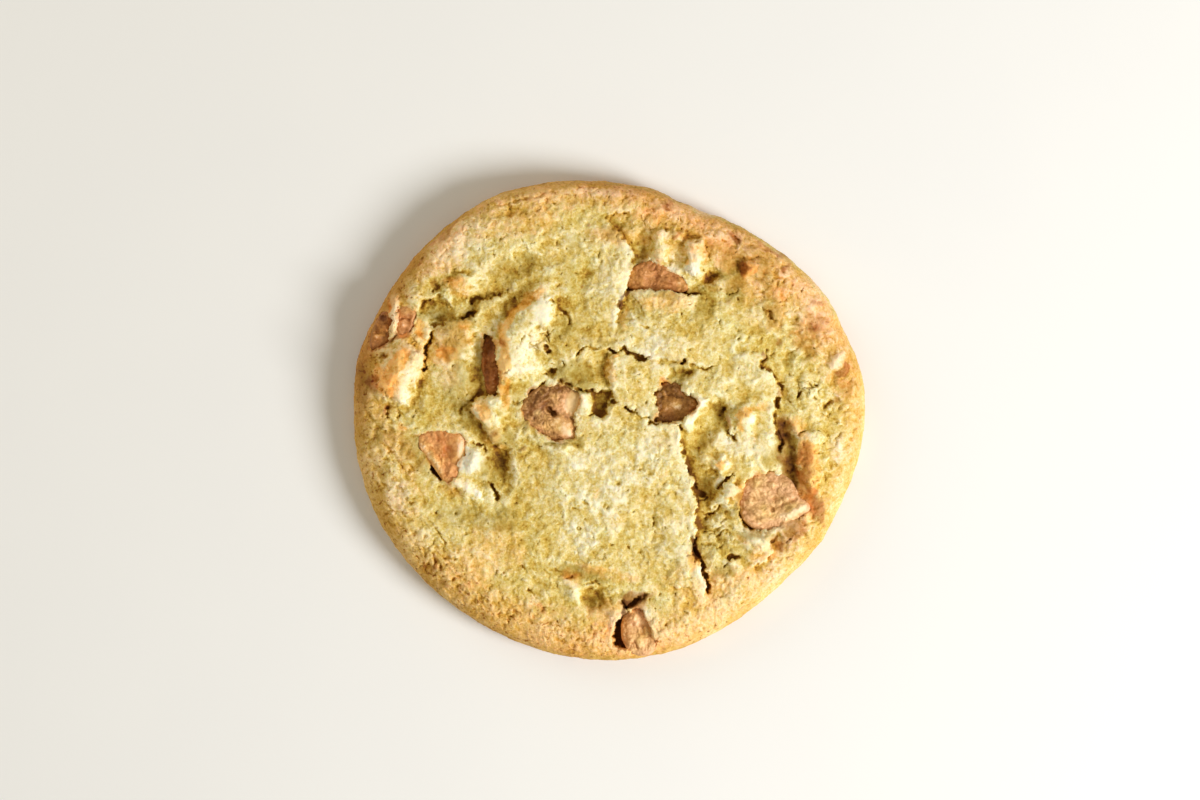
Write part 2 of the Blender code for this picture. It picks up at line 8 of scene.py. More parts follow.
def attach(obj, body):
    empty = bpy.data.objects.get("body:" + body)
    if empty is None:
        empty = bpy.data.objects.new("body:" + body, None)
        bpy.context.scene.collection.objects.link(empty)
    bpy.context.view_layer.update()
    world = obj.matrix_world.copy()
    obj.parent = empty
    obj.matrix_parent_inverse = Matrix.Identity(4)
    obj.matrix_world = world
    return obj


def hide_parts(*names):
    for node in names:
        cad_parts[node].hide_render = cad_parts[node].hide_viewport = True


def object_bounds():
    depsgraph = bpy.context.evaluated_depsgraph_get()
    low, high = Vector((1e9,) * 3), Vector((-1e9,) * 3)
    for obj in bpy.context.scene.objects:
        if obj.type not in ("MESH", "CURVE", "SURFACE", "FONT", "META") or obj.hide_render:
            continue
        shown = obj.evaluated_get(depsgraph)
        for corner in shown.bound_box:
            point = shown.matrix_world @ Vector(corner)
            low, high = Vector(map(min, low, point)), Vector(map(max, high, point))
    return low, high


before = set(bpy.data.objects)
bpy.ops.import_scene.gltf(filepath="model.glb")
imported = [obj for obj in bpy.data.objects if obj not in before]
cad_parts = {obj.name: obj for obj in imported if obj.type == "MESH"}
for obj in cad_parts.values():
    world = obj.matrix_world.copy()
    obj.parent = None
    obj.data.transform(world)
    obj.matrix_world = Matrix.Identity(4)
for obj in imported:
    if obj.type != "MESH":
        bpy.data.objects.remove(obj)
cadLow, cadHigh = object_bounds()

# lengths in the tables are millimetres
mm = 0.001
layerStep = 7.3                  # how far apart the patterns of two noise layers lie


def eased(value):
    step = np.clip(value, 0, 1)
    return step * step * (3 - 2 * step)


def bell(value):
    return np.clip(1 - value * value, 0, 1) ** 2


def plateau(value):
    return eased(1 - value * value)


# smooth noise from -1 to 1 with lumps about size across; layer picks another pattern, and with z it changes
# on the way down a wall too
def uneven(x, y, size, layer, z=0):
    deep = np.broadcast_to(layerStep * layer + z / size, x.shape)
    return np.array([noise.noise(Vector(p)) for p in zip(x / size, y / size, deep)])


# rounded lumps with creases between them
def lumps(x, y, size, layer, z=0):
    return np.abs(uneven(x, y, size, layer, z)) - 0.25


# the same points moved about by noise, so that what is drawn there gets ragged; each step has a size, an
# amount and its layers for x and y
def wandered(x, y, steps, z=0):
    movedX, movedY = x.copy(), y.copy()
    for size, amount, layerX, layerY in steps:
        movedX += amount * uneven(x, y, size, layerX, z)
        movedY += amount * uneven(x, y, size, layerY, z)
    return movedX, movedY


# directions in degrees from 0 to 360
def bearings(x, y):
    return np.degrees(np.arctan2(y, x)) % 360


# each column of a table by direction, read off at the given directions
def byDirection(turn, table):
    degrees, *columns = zip(*table)
    return [np.interp(turn, degrees, column) for column in columns]


# which points lie within reach of a path, and for those: distance, side (1 left, -1 right), place along it
def fromPath(x, y, path, reach):
    xs, ys = [p[0] for p in path], [p[1] for p in path]
    near = np.flatnonzero((x > min(xs) - reach) & (x < max(xs) + reach)
                          & (y > min(ys) - reach) & (y < max(ys) + reach))
    px, py = x[near], y[near]
    best = np.full(px.shape, np.inf)
    side = np.ones(px.shape)
    place = np.zeros(px.shape)
    lengths = [math.dist(a, b) for a, b in zip(path, path[1:])]
    walked = 0.0
    for (ax, ay), (bx, by), length in zip(path, path[1:], lengths):
        ux, uy = (bx - ax) / length, (by - ay) / length
        run = np.clip((px - ax) * ux + (py - ay) * uy, 0, length)
        away = np.hypot(px - ax - run * ux, py - ay - run * uy)
        nearer = away < best
        best = np.where(nearer, away, best)
        side = np.where(nearer, np.where(ux * (py - ay) - uy * (px - ax) >= 0, 1, -1), side)
        place = np.where(nearer, (walked + run) / sum(lengths), place)
        walked += length
    return near, best, side, place


# 1 along a path, easing to 0 at both ends
def tapered(place, share=0.18):
    return eased(place / share) * eased((1 - place) / share)


# 0 in the middle of an ellipse, 1 on its edge
def inEllipse(x, y, middleX, middleY, halfX, halfY, turn=0):
    cos, sin = math.cos(math.radians(turn)), math.sin(math.radians(turn))
    along = ((x - middleX) * cos + (y - middleY) * sin) / halfX
    across = ((y - middleY) * cos - (x - middleX) * sin) / halfY
    return np.hypot(along, across)


# 1 in the middle of an ellipse, 0 a little outside it, with steep sides
def dent(x, y, *ellipse):
    return eased((1.4 - inEllipse(x, y, *ellipse)) / 0.9)


# how far each point near a closed loop lies inside it, negative outside
def insideLoop(x, y, loop, reach=1.5):
    ring = list(loop) + [loop[0]]
    near, away, side, place = fromPath(x, y, ring, reach)
    px, py = x[near], y[near]
    within = np.zeros(px.shape, bool)
    for (ax, ay), (bx, by) in zip(ring, ring[1:]):
        if ay != by:
            crosses = (ay > py) != (by > py)
            within ^= crosses & (px < (bx - ax) * (py - ay) / (by - ay) + ax)
    return near, np.where(within, away, -away)


# distance to the borders of cells about size across, at the given points
def cellBorders(x, y, size, layer):
    borders = []
    for px, py in zip(x / size, y / size):
        distances = noise.voronoi(Vector((px, py, layerStep * layer)))[0]
        borders.append(distances[1] - distances[0])
    return size * np.array(borders)


# spots of (x, y, half length, half width, turn, amount), where a turn of 0 is left out, and strokes of (path,
# reach left, reach right, amount) added up at the given points, with bell or plateau as the shape of each
def spread(x, y, spots, strokes=(), shape=bell):
    total = np.zeros_like(x)
    for *ellipse, amount in spots:
        total += amount * shape(inEllipse(x, y, *ellipse))
    for path, leftReach, rightReach, amount in strokes:
        near, away, side, place = fromPath(x, y, path, max(leftReach, rightReach))
        total[near] += amount * shape(away / np.where(side > 0, leftReach, rightReach)) * tapered(place)
    return total


# a box blur run three times, close to a bell
def blurred(grid, size):
    for repeat in range(3):
        for axis in (0, 1):
            padded = np.concatenate([np.repeat(grid.take([0], axis), size + 1, axis), grid,
                                     np.repeat(grid.take([-1], axis), size, axis)], axis)
            total = np.cumsum(padded, axis)
            width = 2 * size + 1
            length = grid.shape[axis]
            grid = (total.take(range(width, width + length), axis) - total.take(range(length), axis)) / width
    return grid


def select(piece):
    bpy.ops.object.select_all(action="DESELECT")
    piece.select_set(True)
    bpy.context.view_layer.objects.active = piece


def placesOf(piece):
    flat = np.empty(len(piece.data.vertices) * 3)
    piece.data.vertices.foreach_get("co", flat)
    return flat.reshape(-1, 3) / mm


def movePlaces(piece, places):
    piece.data.vertices.foreach_set("co", (places * mm).astype(np.float32).ravel())
    piece.data.update()


def normalsOf(piece):
    flat = np.empty(len(piece.data.vertices) * 3)
    piece.data.vertex_normals.foreach_get("vector", flat)
    return flat.reshape(-1, 3)


# a piece's first points are those of its sheet, and any after them get 0
def writeAttribute(piece, name, values):
    full = np.zeros(len(piece.data.vertices), np.float32)
    full[:len(values)] = values
    piece.data.attributes.new(name, "FLOAT", "POINT").data.foreach_set("value", full)


# a grid eased to a disc and drawn out to an outline, with even turns on its shoulder; gives the sheet, the x
# and y of its points and how far they lie inside the outline
def addSheet(name, count, middle, outlineAt, shoulder):
    bpy.ops.object.select_all(action="DESELECT")
    bpy.ops.mesh.primitive_grid_add(x_subdivisions=count, y_subdivisions=count, size=2, location=(0, 0, 0))
    sheet = bpy.context.object
    sheet.name = name
    flat = placesOf(sheet) * mm
    discX = flat[:, 0] * np.sqrt(1 - flat[:, 1] ** 2 / 2)
    discY = flat[:, 1] * np.sqrt(1 - flat[:, 0] ** 2 / 2)
    angle = np.arctan2(discY, discX)
    share = np.minimum(np.hypot(discX, discY), 1)
    edge = outlineAt(angle)
    shoulderShare = 1.3 * shoulder / edge.mean()         # more rows than its width alone would get
    turned = np.clip((share - 1 + shoulderShare) / shoulderShare, 0, 1)
    inner = edge - shoulder
    radius = np.where(turned > 0, inner + shoulder * np.sin(turned * math.pi / 2),
                      inner * share / (1 - shoulderShare))
    return sheet, middle[0] + radius * np.cos(angle), middle[1] + radius * np.sin(angle), edge - radius


# the open edge of a sheet drawn down ring by ring, (step down, share across) each, to a flat foot
def closeBelow(sheet, middle, rings, foot):
    select(sheet)
    bpy.ops.object.mode_set(mode="EDIT")
    bpy.ops.mesh.select_all(action="DESELECT")
    bpy.ops.mesh.select_non_manifold()
    around = (middle[0] * mm, middle[1] * mm, foot * mm)
    across = 1.0
    for index, (down, share) in enumerate(rings):
        bpy.ops.mesh.extrude_region_move(TRANSFORM_OT_translate={"value": (0, 0, -down * mm)})
        level = 0 if index == len(rings) - 1 else 1
        bpy.ops.transform.resize(value=(share / across, share / across, level), center_override=around)
        across = share
    bpy.ops.mesh.edge_face_add()
    bpy.ops.mesh.select_all(action="SELECT")
    bpy.ops.mesh.normals_make_consistent(inside=False)
    bpy.ops.object.mode_set(mode="OBJECT")


class Wire:
    # a socket that takes part in sums: each sum adds its Math node
    def __init__(self, tree, socket=None):
        self.tree, self.socket = tree, socket

    def node(self, kind, settings=None, inputs=None, output=0):
        made = self.tree.nodes.new("ShaderNode" + kind)
        for key, value in (settings or {}).items():
            if key == "stops":
                ramp = made.color_ramp
                while len(ramp.elements) < len(value):
                    ramp.elements.new(0.5)
                for stop, (place, color) in zip(ramp.elements, value):
                    stop.position, stop.color = place, color
            else:
                setattr(made, key, value)
        for key, value in (inputs or {}).items():
            if isinstance(value, Wire):
                self.tree.links.new(value.socket, made.inputs[key])
            else:
                made.inputs[key].default_value = value
        return Wire(self.tree, made.outputs[output])

    def sum(self, operation, first, second):
        return self.node("Math", {"operation": operation}, {0: first, 1: second})

    def __add__(self, other): return self.sum("ADD", self, other)
    def __radd__(self, other): return self.sum("ADD", other, self)
    def __sub__(self, other): return self.sum("SUBTRACT", self, other)
    def __rsub__(self, other): return self.sum("SUBTRACT", other, self)
    def __mul__(self, other): return self.sum("MULTIPLY", self, other)
    def __rmul__(self, other): return self.sum("MULTIPLY", other, self)

    def within(self, low, high):
        return self.node("MapRange", {"interpolation_type": "SMOOTHSTEP"},
                         {"Value": self, "From Min": low, "From Max": high})

    def mixed(self, first, second):
        return self.node("Mix", {"data_type": "RGBA"}, {0: self, 6: first, 7: second}, 2)

    def stained(self, first, tint):
        return self.node("Mix", {"data_type": "RGBA", "blend_type": "MULTIPLY"},
                         {0: self, 6: first, 7: tint}, 2)

    def attribute(self, name):
        return self.node("Attribute", {"attribute_name": name}, {}, "Fac")

    def grain(self, size, detail=2.0, rough=0.5, shift=0.0):
        where = self.node("TexCoord", {}, {}, "Object")
        if shift:
            where = self.node("Mapping", {}, {"Vector": where, "Location": (shift, shift, shift)})
        return self.node("TexNoise", {}, {"Vector": where, "Scale": 1000 / size, "Detail": detail,
                                          "Roughness": rough}, "Fac")

    def feed(self, socket):
        self.tree.links.new(self.socket, socket)


def shader(name, roughness, specular):
    material = bpy.data.materials.new(name)
    material.use_nodes = True
    tree = material.node_tree
    body = tree.nodes["Principled BSDF"]
    body.inputs["Roughness"].default_value = roughness
    body.inputs["Specular IOR Level"].default_value = specular
    return material, body, Wire(tree)


def rgb(red, green, blue):
    def linear(value):
        value /= 255
        return value / 12.92 if value <= 0.04045 else ((value + 0.055) / 1.055) ** 2.4
    return (linear(red), linear(green), linear(blue), 1)


# the dough's opening over each chip, and the height of the chip in it
openings = dict(
    chip_upper=dict(middle=(8.4, 25.9), level=8.9, loop=(
        (3.7, 26.4), (4.3, 27.2), (5.6, 28.1), (7.4, 28.5), (9.2, 28.2), (10.4, 27.3), (11.7, 26.6),
        (12.8, 26), (13.7, 25), (14, 24.2), (13.4, 23.5), (11, 23.6), (8, 23.8), (6, 24.1), (4.2, 23.9),
        (3.6, 24.8))),
    chip_rim_outer=dict(middle=(-41.4, 16.3), level=7.6, loop=(
        (-41.2, 19.4), (-40, 19), (-39.5, 18.1), (-40, 17), (-40.2, 15.8), (-40.3, 14.6), (-41, 14),
        (-42, 13.5), (-43, 13.2), (-43.3, 14.3), (-43, 15.6), (-42.5, 16.8), (-42, 18))),
    chip_rim_inner=dict(middle=(-36.9, 18), level=8.7, loop=(
        (-38.1, 20), (-36.8, 20.4), (-35.7, 20), (-35.4, 19.2), (-35.8, 18), (-36.1, 17), (-36.7, 16),
        (-37.4, 15.6), (-38.2, 15.9), (-38.3, 17), (-38.1, 18.4))),
    chip_under_ridge=dict(middle=(-21.5, 10), level=7.7, loop=(
        (-22.2, 15.4), (-21.4, 15.2), (-20.7, 13.5), (-20.4, 11), (-20, 9.4), (-20, 7), (-20.3, 5.4),
        (-21.2, 4.7), (-22, 4.9), (-22.4, 6.5), (-22.6, 8.5), (-22.9, 10.2), (-23.1, 12), (-22.8, 13.8))),
    chip_left_middle=dict(middle=(-10.4, 1.3), level=9.3, loop=(
        (-15.8, 1.8), (-15.2, 3.5), (-13.6, 5), (-11.8, 6), (-9.5, 6.3), (-7.6, 5.9), (-6, 5.1), (-5.4, 3.8),
        (-5.8, 2.2), (-6.8, 0.9), (-6.6, 0), (-5.9, -1.4), (-6.2, -2.9), (-7.4, -3.6), (-9, -3.6),
        (-10.6, -3), (-12, -2), (-13.8, -0.9), (-15.2, 0.3))),
    chip_middle=dict(middle=(12, 3), level=7.9, loop=(
        (8.3, 4.6), (9.2, 5.4), (9.7, 6.8), (10.4, 7.1), (11.4, 6.8), (12.8, 6.8), (12.8, 5.4), (13.3, 4.7),
        (14.6, 4.8), (15.4, 4), (16.1, 3.1), (15.2, 1.9), (14, 0.6), (12, -0.3), (9.6, -0.5), (8.5, 0.1),
        (8.9, 1.4), (8.6, 2.8))),
    chip_left_low=dict(middle=(-30, -5.8), level=9.3, loop=(
        (-34.5, -3.3), (-33, -2.3), (-31, -2.1), (-29.5, -2.4), (-28, -2.6), (-27, -2.5), (-26.4, -3.8),
        (-26.5, -5.5), (-27, -7.2), (-27.4, -9), (-28, -10.2), (-29.4, -10.9), (-30.2, -10.4),
        (-31.4, -8.4), (-32.6, -6.6), (-34, -5))),
    chip_right=dict(middle=(29.3, -14.5), level=8.9, loop=(
        (24, -14.5), (24.4, -12.3), (25.4, -10.8), (27, -9.8), (29, -9.6), (31, -10), (32.6, -11.2),
        (33.6, -12.9), (34.2, -14), (35, -14.4), (35.8, -15.1), (36.2, -15.8), (35.2, -16.9),
        (33.6, -17.5), (32, -18.3), (30.2, -19.2), (28, -19.5), (26, -19), (24.6, -17.6), (24, -16))),
    chip_bottom=dict(middle=(5.4, -38.2), level=7.3, loop=(
        (2.9, -35.6), (3.6, -34.6), (5, -34), (6.2, -34.6), (6.6, -35.8), (7.3, -37.4), (8, -39),
        (8.4, -40.2), (8, -41.4), (7, -42.2), (5.4, -42.3), (4.2, -41.9), (3.4, -41), (2.7, -39.5),
        (2.6, -37.5))),
)

dough = dict(
    # the outline: waves of (number, height, direction of a crest), knocks of (direction, width, height)
    radius=44.86,
    waves=((1, 0.78, 153), (2, 1.54, 174), (3, 0.83, 13), (4, 0.59, 13)),
    knocks=((20, 6, -0.6), (68, 7, -0.5), (81, 5, 0.35), (117, 8, 0.4), (165, 8, 0.6), (330, 7, 0.6)),
    # heights of the widest place, the rim, the crown and the deepest hollow, then the shoulder's width
    widest=3.0, rim=8.8, crown=10.0, floor=4.0, shoulder=6.0, fullness=0.5,
    # how wide the rounding is by direction: degrees, width
    rounding=((0, 5.5), (45, 5), (75, 4.2), (100, 3), (122, 2.6), (138, 3.6), (152, 7.5), (180, 7),
              (210, 6), (240, 5), (300, 5), (360, 5.5)),
    steps=540,                   # squares across the sheet before it is thinned
    triangles=186000,
    # how the tables' edges wander, in steps of size, amount and the layers for x and y
    wander=((3.1, 0.5, 31, 41), (1.2, 0.5, 32, 42), (0.5, 0.3, 33, 43)),
    # noise of the top, each with its size and height
    skin=((6.5, 0.42), (2.4, 0.3), (1.1, 0.13)),
    crumbs=((1.9, 0.32), (0.95, 0.3), (0.5, 0.18)),
    grain=((0.62, 0.08), (0.36, 0.06)),
    swell=1.15,                  # strength of the swells and ridges
    # what the width and depth of a crack in the table are multiplied by, and how its groove runs
    crackForm=dict(width=0.62, sides=0.7, depth=0.7, ends=0.12, narrowest=0.12, widest=1.5),
    # finer forms, with the size of their noise; inner and outer are where they start and end
    hairCracks=dict(size=3.4, patches=6, width=0.03, depth=0.25),
    cells=dict(size=1.9, patches=2.6, width=0.22, depth=0.45),
    holes=dict(size=0.62, depth=0.4),
    rimPits=dict(size=0.85, depth=0.3, inner=0.76),
    rimLumps=dict(size=2.6, height=0.22, inner=36),
    walls=dict(size=1.2, height=0.5, outer=41),
    # how rough the rim is by direction: degrees, share
    rimRough=((0, 0.6), (60, 0.8), (120, 0.3), (170, 0.8), (200, 1), (260, 1), (300, 0.6), (360, 0.6)),
    margin=0.02,                 # kept from the CAD model's box
    chipSink=1.6,                # how far the dough's floor lies under a chip's top
    lip=0.35,                    # softness of the edge of an opening
    # rings of the side, each a step down and its share of the outline
    side=((0.42, 0.9995), (0.5, 0.998), (0.5, 0.994), (0.5, 0.988), (0.45, 0.98), (0.35, 0.968),
          (0.28, 0.945)),
)

# the tables of spots and strokes are laid out as spread takes them; swells and hollows first
swells = (
    (-18, 32, 17, 8, 25, 1), (-15, 28.6, 9, 3.6, 18, -1.2), (-4, 26, 4, 3, -20, -0.4),
    (15, 16.5, 14, 7.5, 0.5), (0, -12, 17, 14, 0.9), (-28.5, 13.5, 5, 5, 0.5), (-27, 24.8, 4.6, 2.4, 5, 1.1),
    (-31.6, 24.4, 1.6, 2, 70, -0.7), (-36, 22.6, 3, 3, 0.5), (-23.4, 9, 8.4, 3.2, 97, -1.9),
    (-30, 3.5, 6, 5, 100, -0.6), (-21.5, 1.2, 4, 3.4, 0.8), (-19.6, -8.6, 6.5, 3, 95, -1.8),
    (-24.8, -7.4, 3.8, 3, 60, 1.2), (24.6, 0.4, 2.8, 3.2, 1.9), (27, -4.6, 5, 5, 0.9),
    (17.6, -12.6, 4, 2.8, 100, -0.8), (19.5, -19.5, 8.5, 4.6, 92, -1.1), (20.2, -7.8, 2.2, 2, 1.1),
    (22.2, -12.8, 2, 2, 0.9), (18.9, -15.3, 1.5, 1, 30, 0.7), (22.4, -16.6, 1.6, 1.2, 0.6),
    (18.6, -18.6, 2, 1.4, 0.7), (21.6, -21.4, 2.2, 1.6, 0.6), (19, -24.8, 2, 2, 0.6),
    (26.5, -22, 4, 2.6, -20, 1.2), (28.4, -21, 1.8, 1.6, 0.5), (-2.6, -32.4, 3.6, 3.2, -1.6),
    (-6.4, -31.6, 2, 3, 30, 0.7), (0.9, -35.8, 2, 2.2, 20, 0.9), (12.6, 33.2, 2.2, 2, 0.8),
    (18.2, 25.8, 2.6, 1.8, 20, -1.5), (25.8, 27.4, 2.6, 2.6, 1.1), (23.3, 27.6, 1.6, 2.2, 80, -0.8),
    (41.3, 10.8, 3.4, 1.7, 48, 0.7), (36, 3.6, 4, 3.4, 60, 0.4), (-33.4, -27.4, 2.6, 1.8, 60, -0.7),
    (30, 20, 9, 6, 120, 0.4), (-12, 19, 4, 3, 55, 0.6), (-4.2, 9, 4.4, 3.4, -0.7), (4, 7.4, 4.4, 3.4, 0.5),
)

# ridges and valleys, strokes
ridges = (
    (((-9.2, 23.6), (-12.6, 21.6), (-15.4, 18.8), (-17.4, 15.4), (-18, 12), (-18, 9),
      (-17.4, 5.6)), 7.5, 3.8, 2.3),
    (((-34.4, 14), (-36.6, 10.4), (-38.6, 6.8), (-39.8, 2.6)), 3.6, 5.5, 2),
    (((14.8, 33), (15.4, 30), (14, 26.2)), 3, 2.4, 1.5),
    (((9.4, 35), (9.2, 31.5), (9.4, 28.8)), 2.6, 1.7, 1.3),
    (((5.8, 34.5), (5.9, 31.5), (6.2, 28.8)), 2.2, 2.2, -0.5),
    (((12.8, -1.6), (14.6, 1), (17.2, 4.6)), 2.4, 2.6, 1.1),
    (((22, 3.8), (19.4, 0.6), (17.5, -3.2), (16.2, -6)), 2.4, 3.8, -0.8),
    (((31, 1.6), (31.4, -1.4), (31.8, -4), (32.4, -8), (33.2, -13)), 2.8, 2.2, -0.7),
    (((-39.4, 24), (-39, 20.6), (-39, 17.8), (-39.2, 15.8)), 1.7, 1.5, 2.2),
    (((36.9, -1), (37.4, -7), (36.8, -14)), 3, 2.2, 0.9),
    (((-29.6, -10.6), (-26, -12), (-22.4, -14)), 2, 2, 0.9),
    (((-4.8, 5), (-4.6, 3), (-4.6, 0.8)), 1.2, 1.8, 0.6),
    (((-15.5, -0.8), (-13.2, -3.2), (-10, -5.1), (-6.4, -5.1)), 1, 1.4, 0.6),
    (((23.4, -11), (21, -13.2), (19.8, -16)), 2.2, 1.6, 1),
    (((23.6, -18.6), (20.6, -20), (17.4, -21)), 1.4, 2, 0.5),
    (((17.4, -8.6), (19.2, -10.2), (19.2, -12)), 1.2, 1.4, -0.4),
    (((16.4, -5.6), (18.2, -7), (18.4, -9)), 1.4, 1.4, 0.5),
    (((33.2, 13.4), (32.2, 10.4), (33, 7.6)), 1.3, 1.8, -0.5),
    (((36.6, 9), (35.4, 6.6), (36.4, 3.8)), 1.4, 1.4, 0.4),
)

# broken edges: path with the high side on its left, drop, reach of the high and the low side, softness
cliffs = (
    (((16.6, -34.5), (17.5, -31), (17.3, -28.6), (16, -26), (14.9, -24), (15.3, -20.4), (15.7, -15.4),
      (15.2, -11), (13.4, -8), (12.8, -3), (12.2, 0.4)), 2.6, 9, 6, 0.35),
    (((1, 15.5), (1.3, 18.4), (1.6, 20.4), (3, 23), (4, 25.4), (4.1, 28), (4.4, 30.4), (2.6, 32.6),
      (0.6, 34.6), (-0.8, 37.4)), 2.1, 9, 5.5, 0.35),
    (((17.6, 22.6), (14, 22.9), (10, 23.6), (6, 23.9), (3.6, 23.6), (2.4, 21.6)), 1.4, 7, 4.5, 0.3),
    (((33.8, -1), (34, -3.2), (34.3, -8), (34.6, -14.4)), 1.5, 4.5, 3.6, 1.2),
    (((31.8, -6), (30.9, -3), (30.2, -1), (30.3, 1.4), (31, 4), (30.6, 6), (29.4, 8.2), (27.5, 10.2),
      (28.6, 12.2), (28, 14)), 1, 6, 3.5, 0.3),
    (((25, -27), (28, -25.4), (29.3, -24), (29.1, -22.2), (30.6, -20.2)), 1.3, 4, 3.5, 0.3),
    (((-18.8, 4.9), (-20.4, 4.7), (-22.4, 4.6), (-23.8, 4.4), (-24.9, 3), (-24.6, 1.6), (-23.4, 0.2),
      (-22.4, -1.4), (-21.8, -3.4), (-20.6, -4.6), (-17.6, -4.8)), 1.8, 6, 4.5, 0.45),
    (((-37.8, 1), (-36, 3.8), (-34.8, 6.4), (-33.7, 8.6), (-33, 10.4), (-33, 13.6),
      (-32.3, 17.4)), 0.9, 4, 4, 0.4),
    (((-17.4, 22.6), (-20.6, 22.9), (-23.4, 21.6), (-24.6, 19.6), (-26, 18.5), (-28.6, 18.2), (-31, 17.2),
      (-32.6, 17)), 1.4, 5, 4, 0.35),
    (((-35.4, 20.2), (-33.2, 21.9), (-31, 22.6), (-29.6, 21.4), (-27.4, 21.9),
      (-23.5, 22.8)), 0.8, 3, 3, 0.35),
    (((-8, 11.5), (-3, 13.2), (1, 12.6), (5, 11.5), (10, 11.3), (15, 10), (21, 9.6)), 0.6, 6, 5, 0.5),
    (((0.2, 3.4), (4.6, 1.8), (7.4, 0.2)), 0.7, 4, 4, 0.4),
    (((0.2, 12.6), (-0.2, 9.6), (0.1, 5.2)), 1.6, 5, 4.5, 0.7),
    (((-1.2, 36.9), (1, 37.3), (3.6, 38), (5.4, 38.2)), 0.7, 3, 4, 0.25),
    (((-29.6, 10.6), (-27.4, 11.4), (-24.8, 11.2)), 0.5, 4, 3, 0.4),
    (((21.4, 4), (21, 1.6), (21.4, -0.8), (22.4, -2.6), (23.4, -4.4)), 1.1, 2.6, 2.6, 0.5),
)

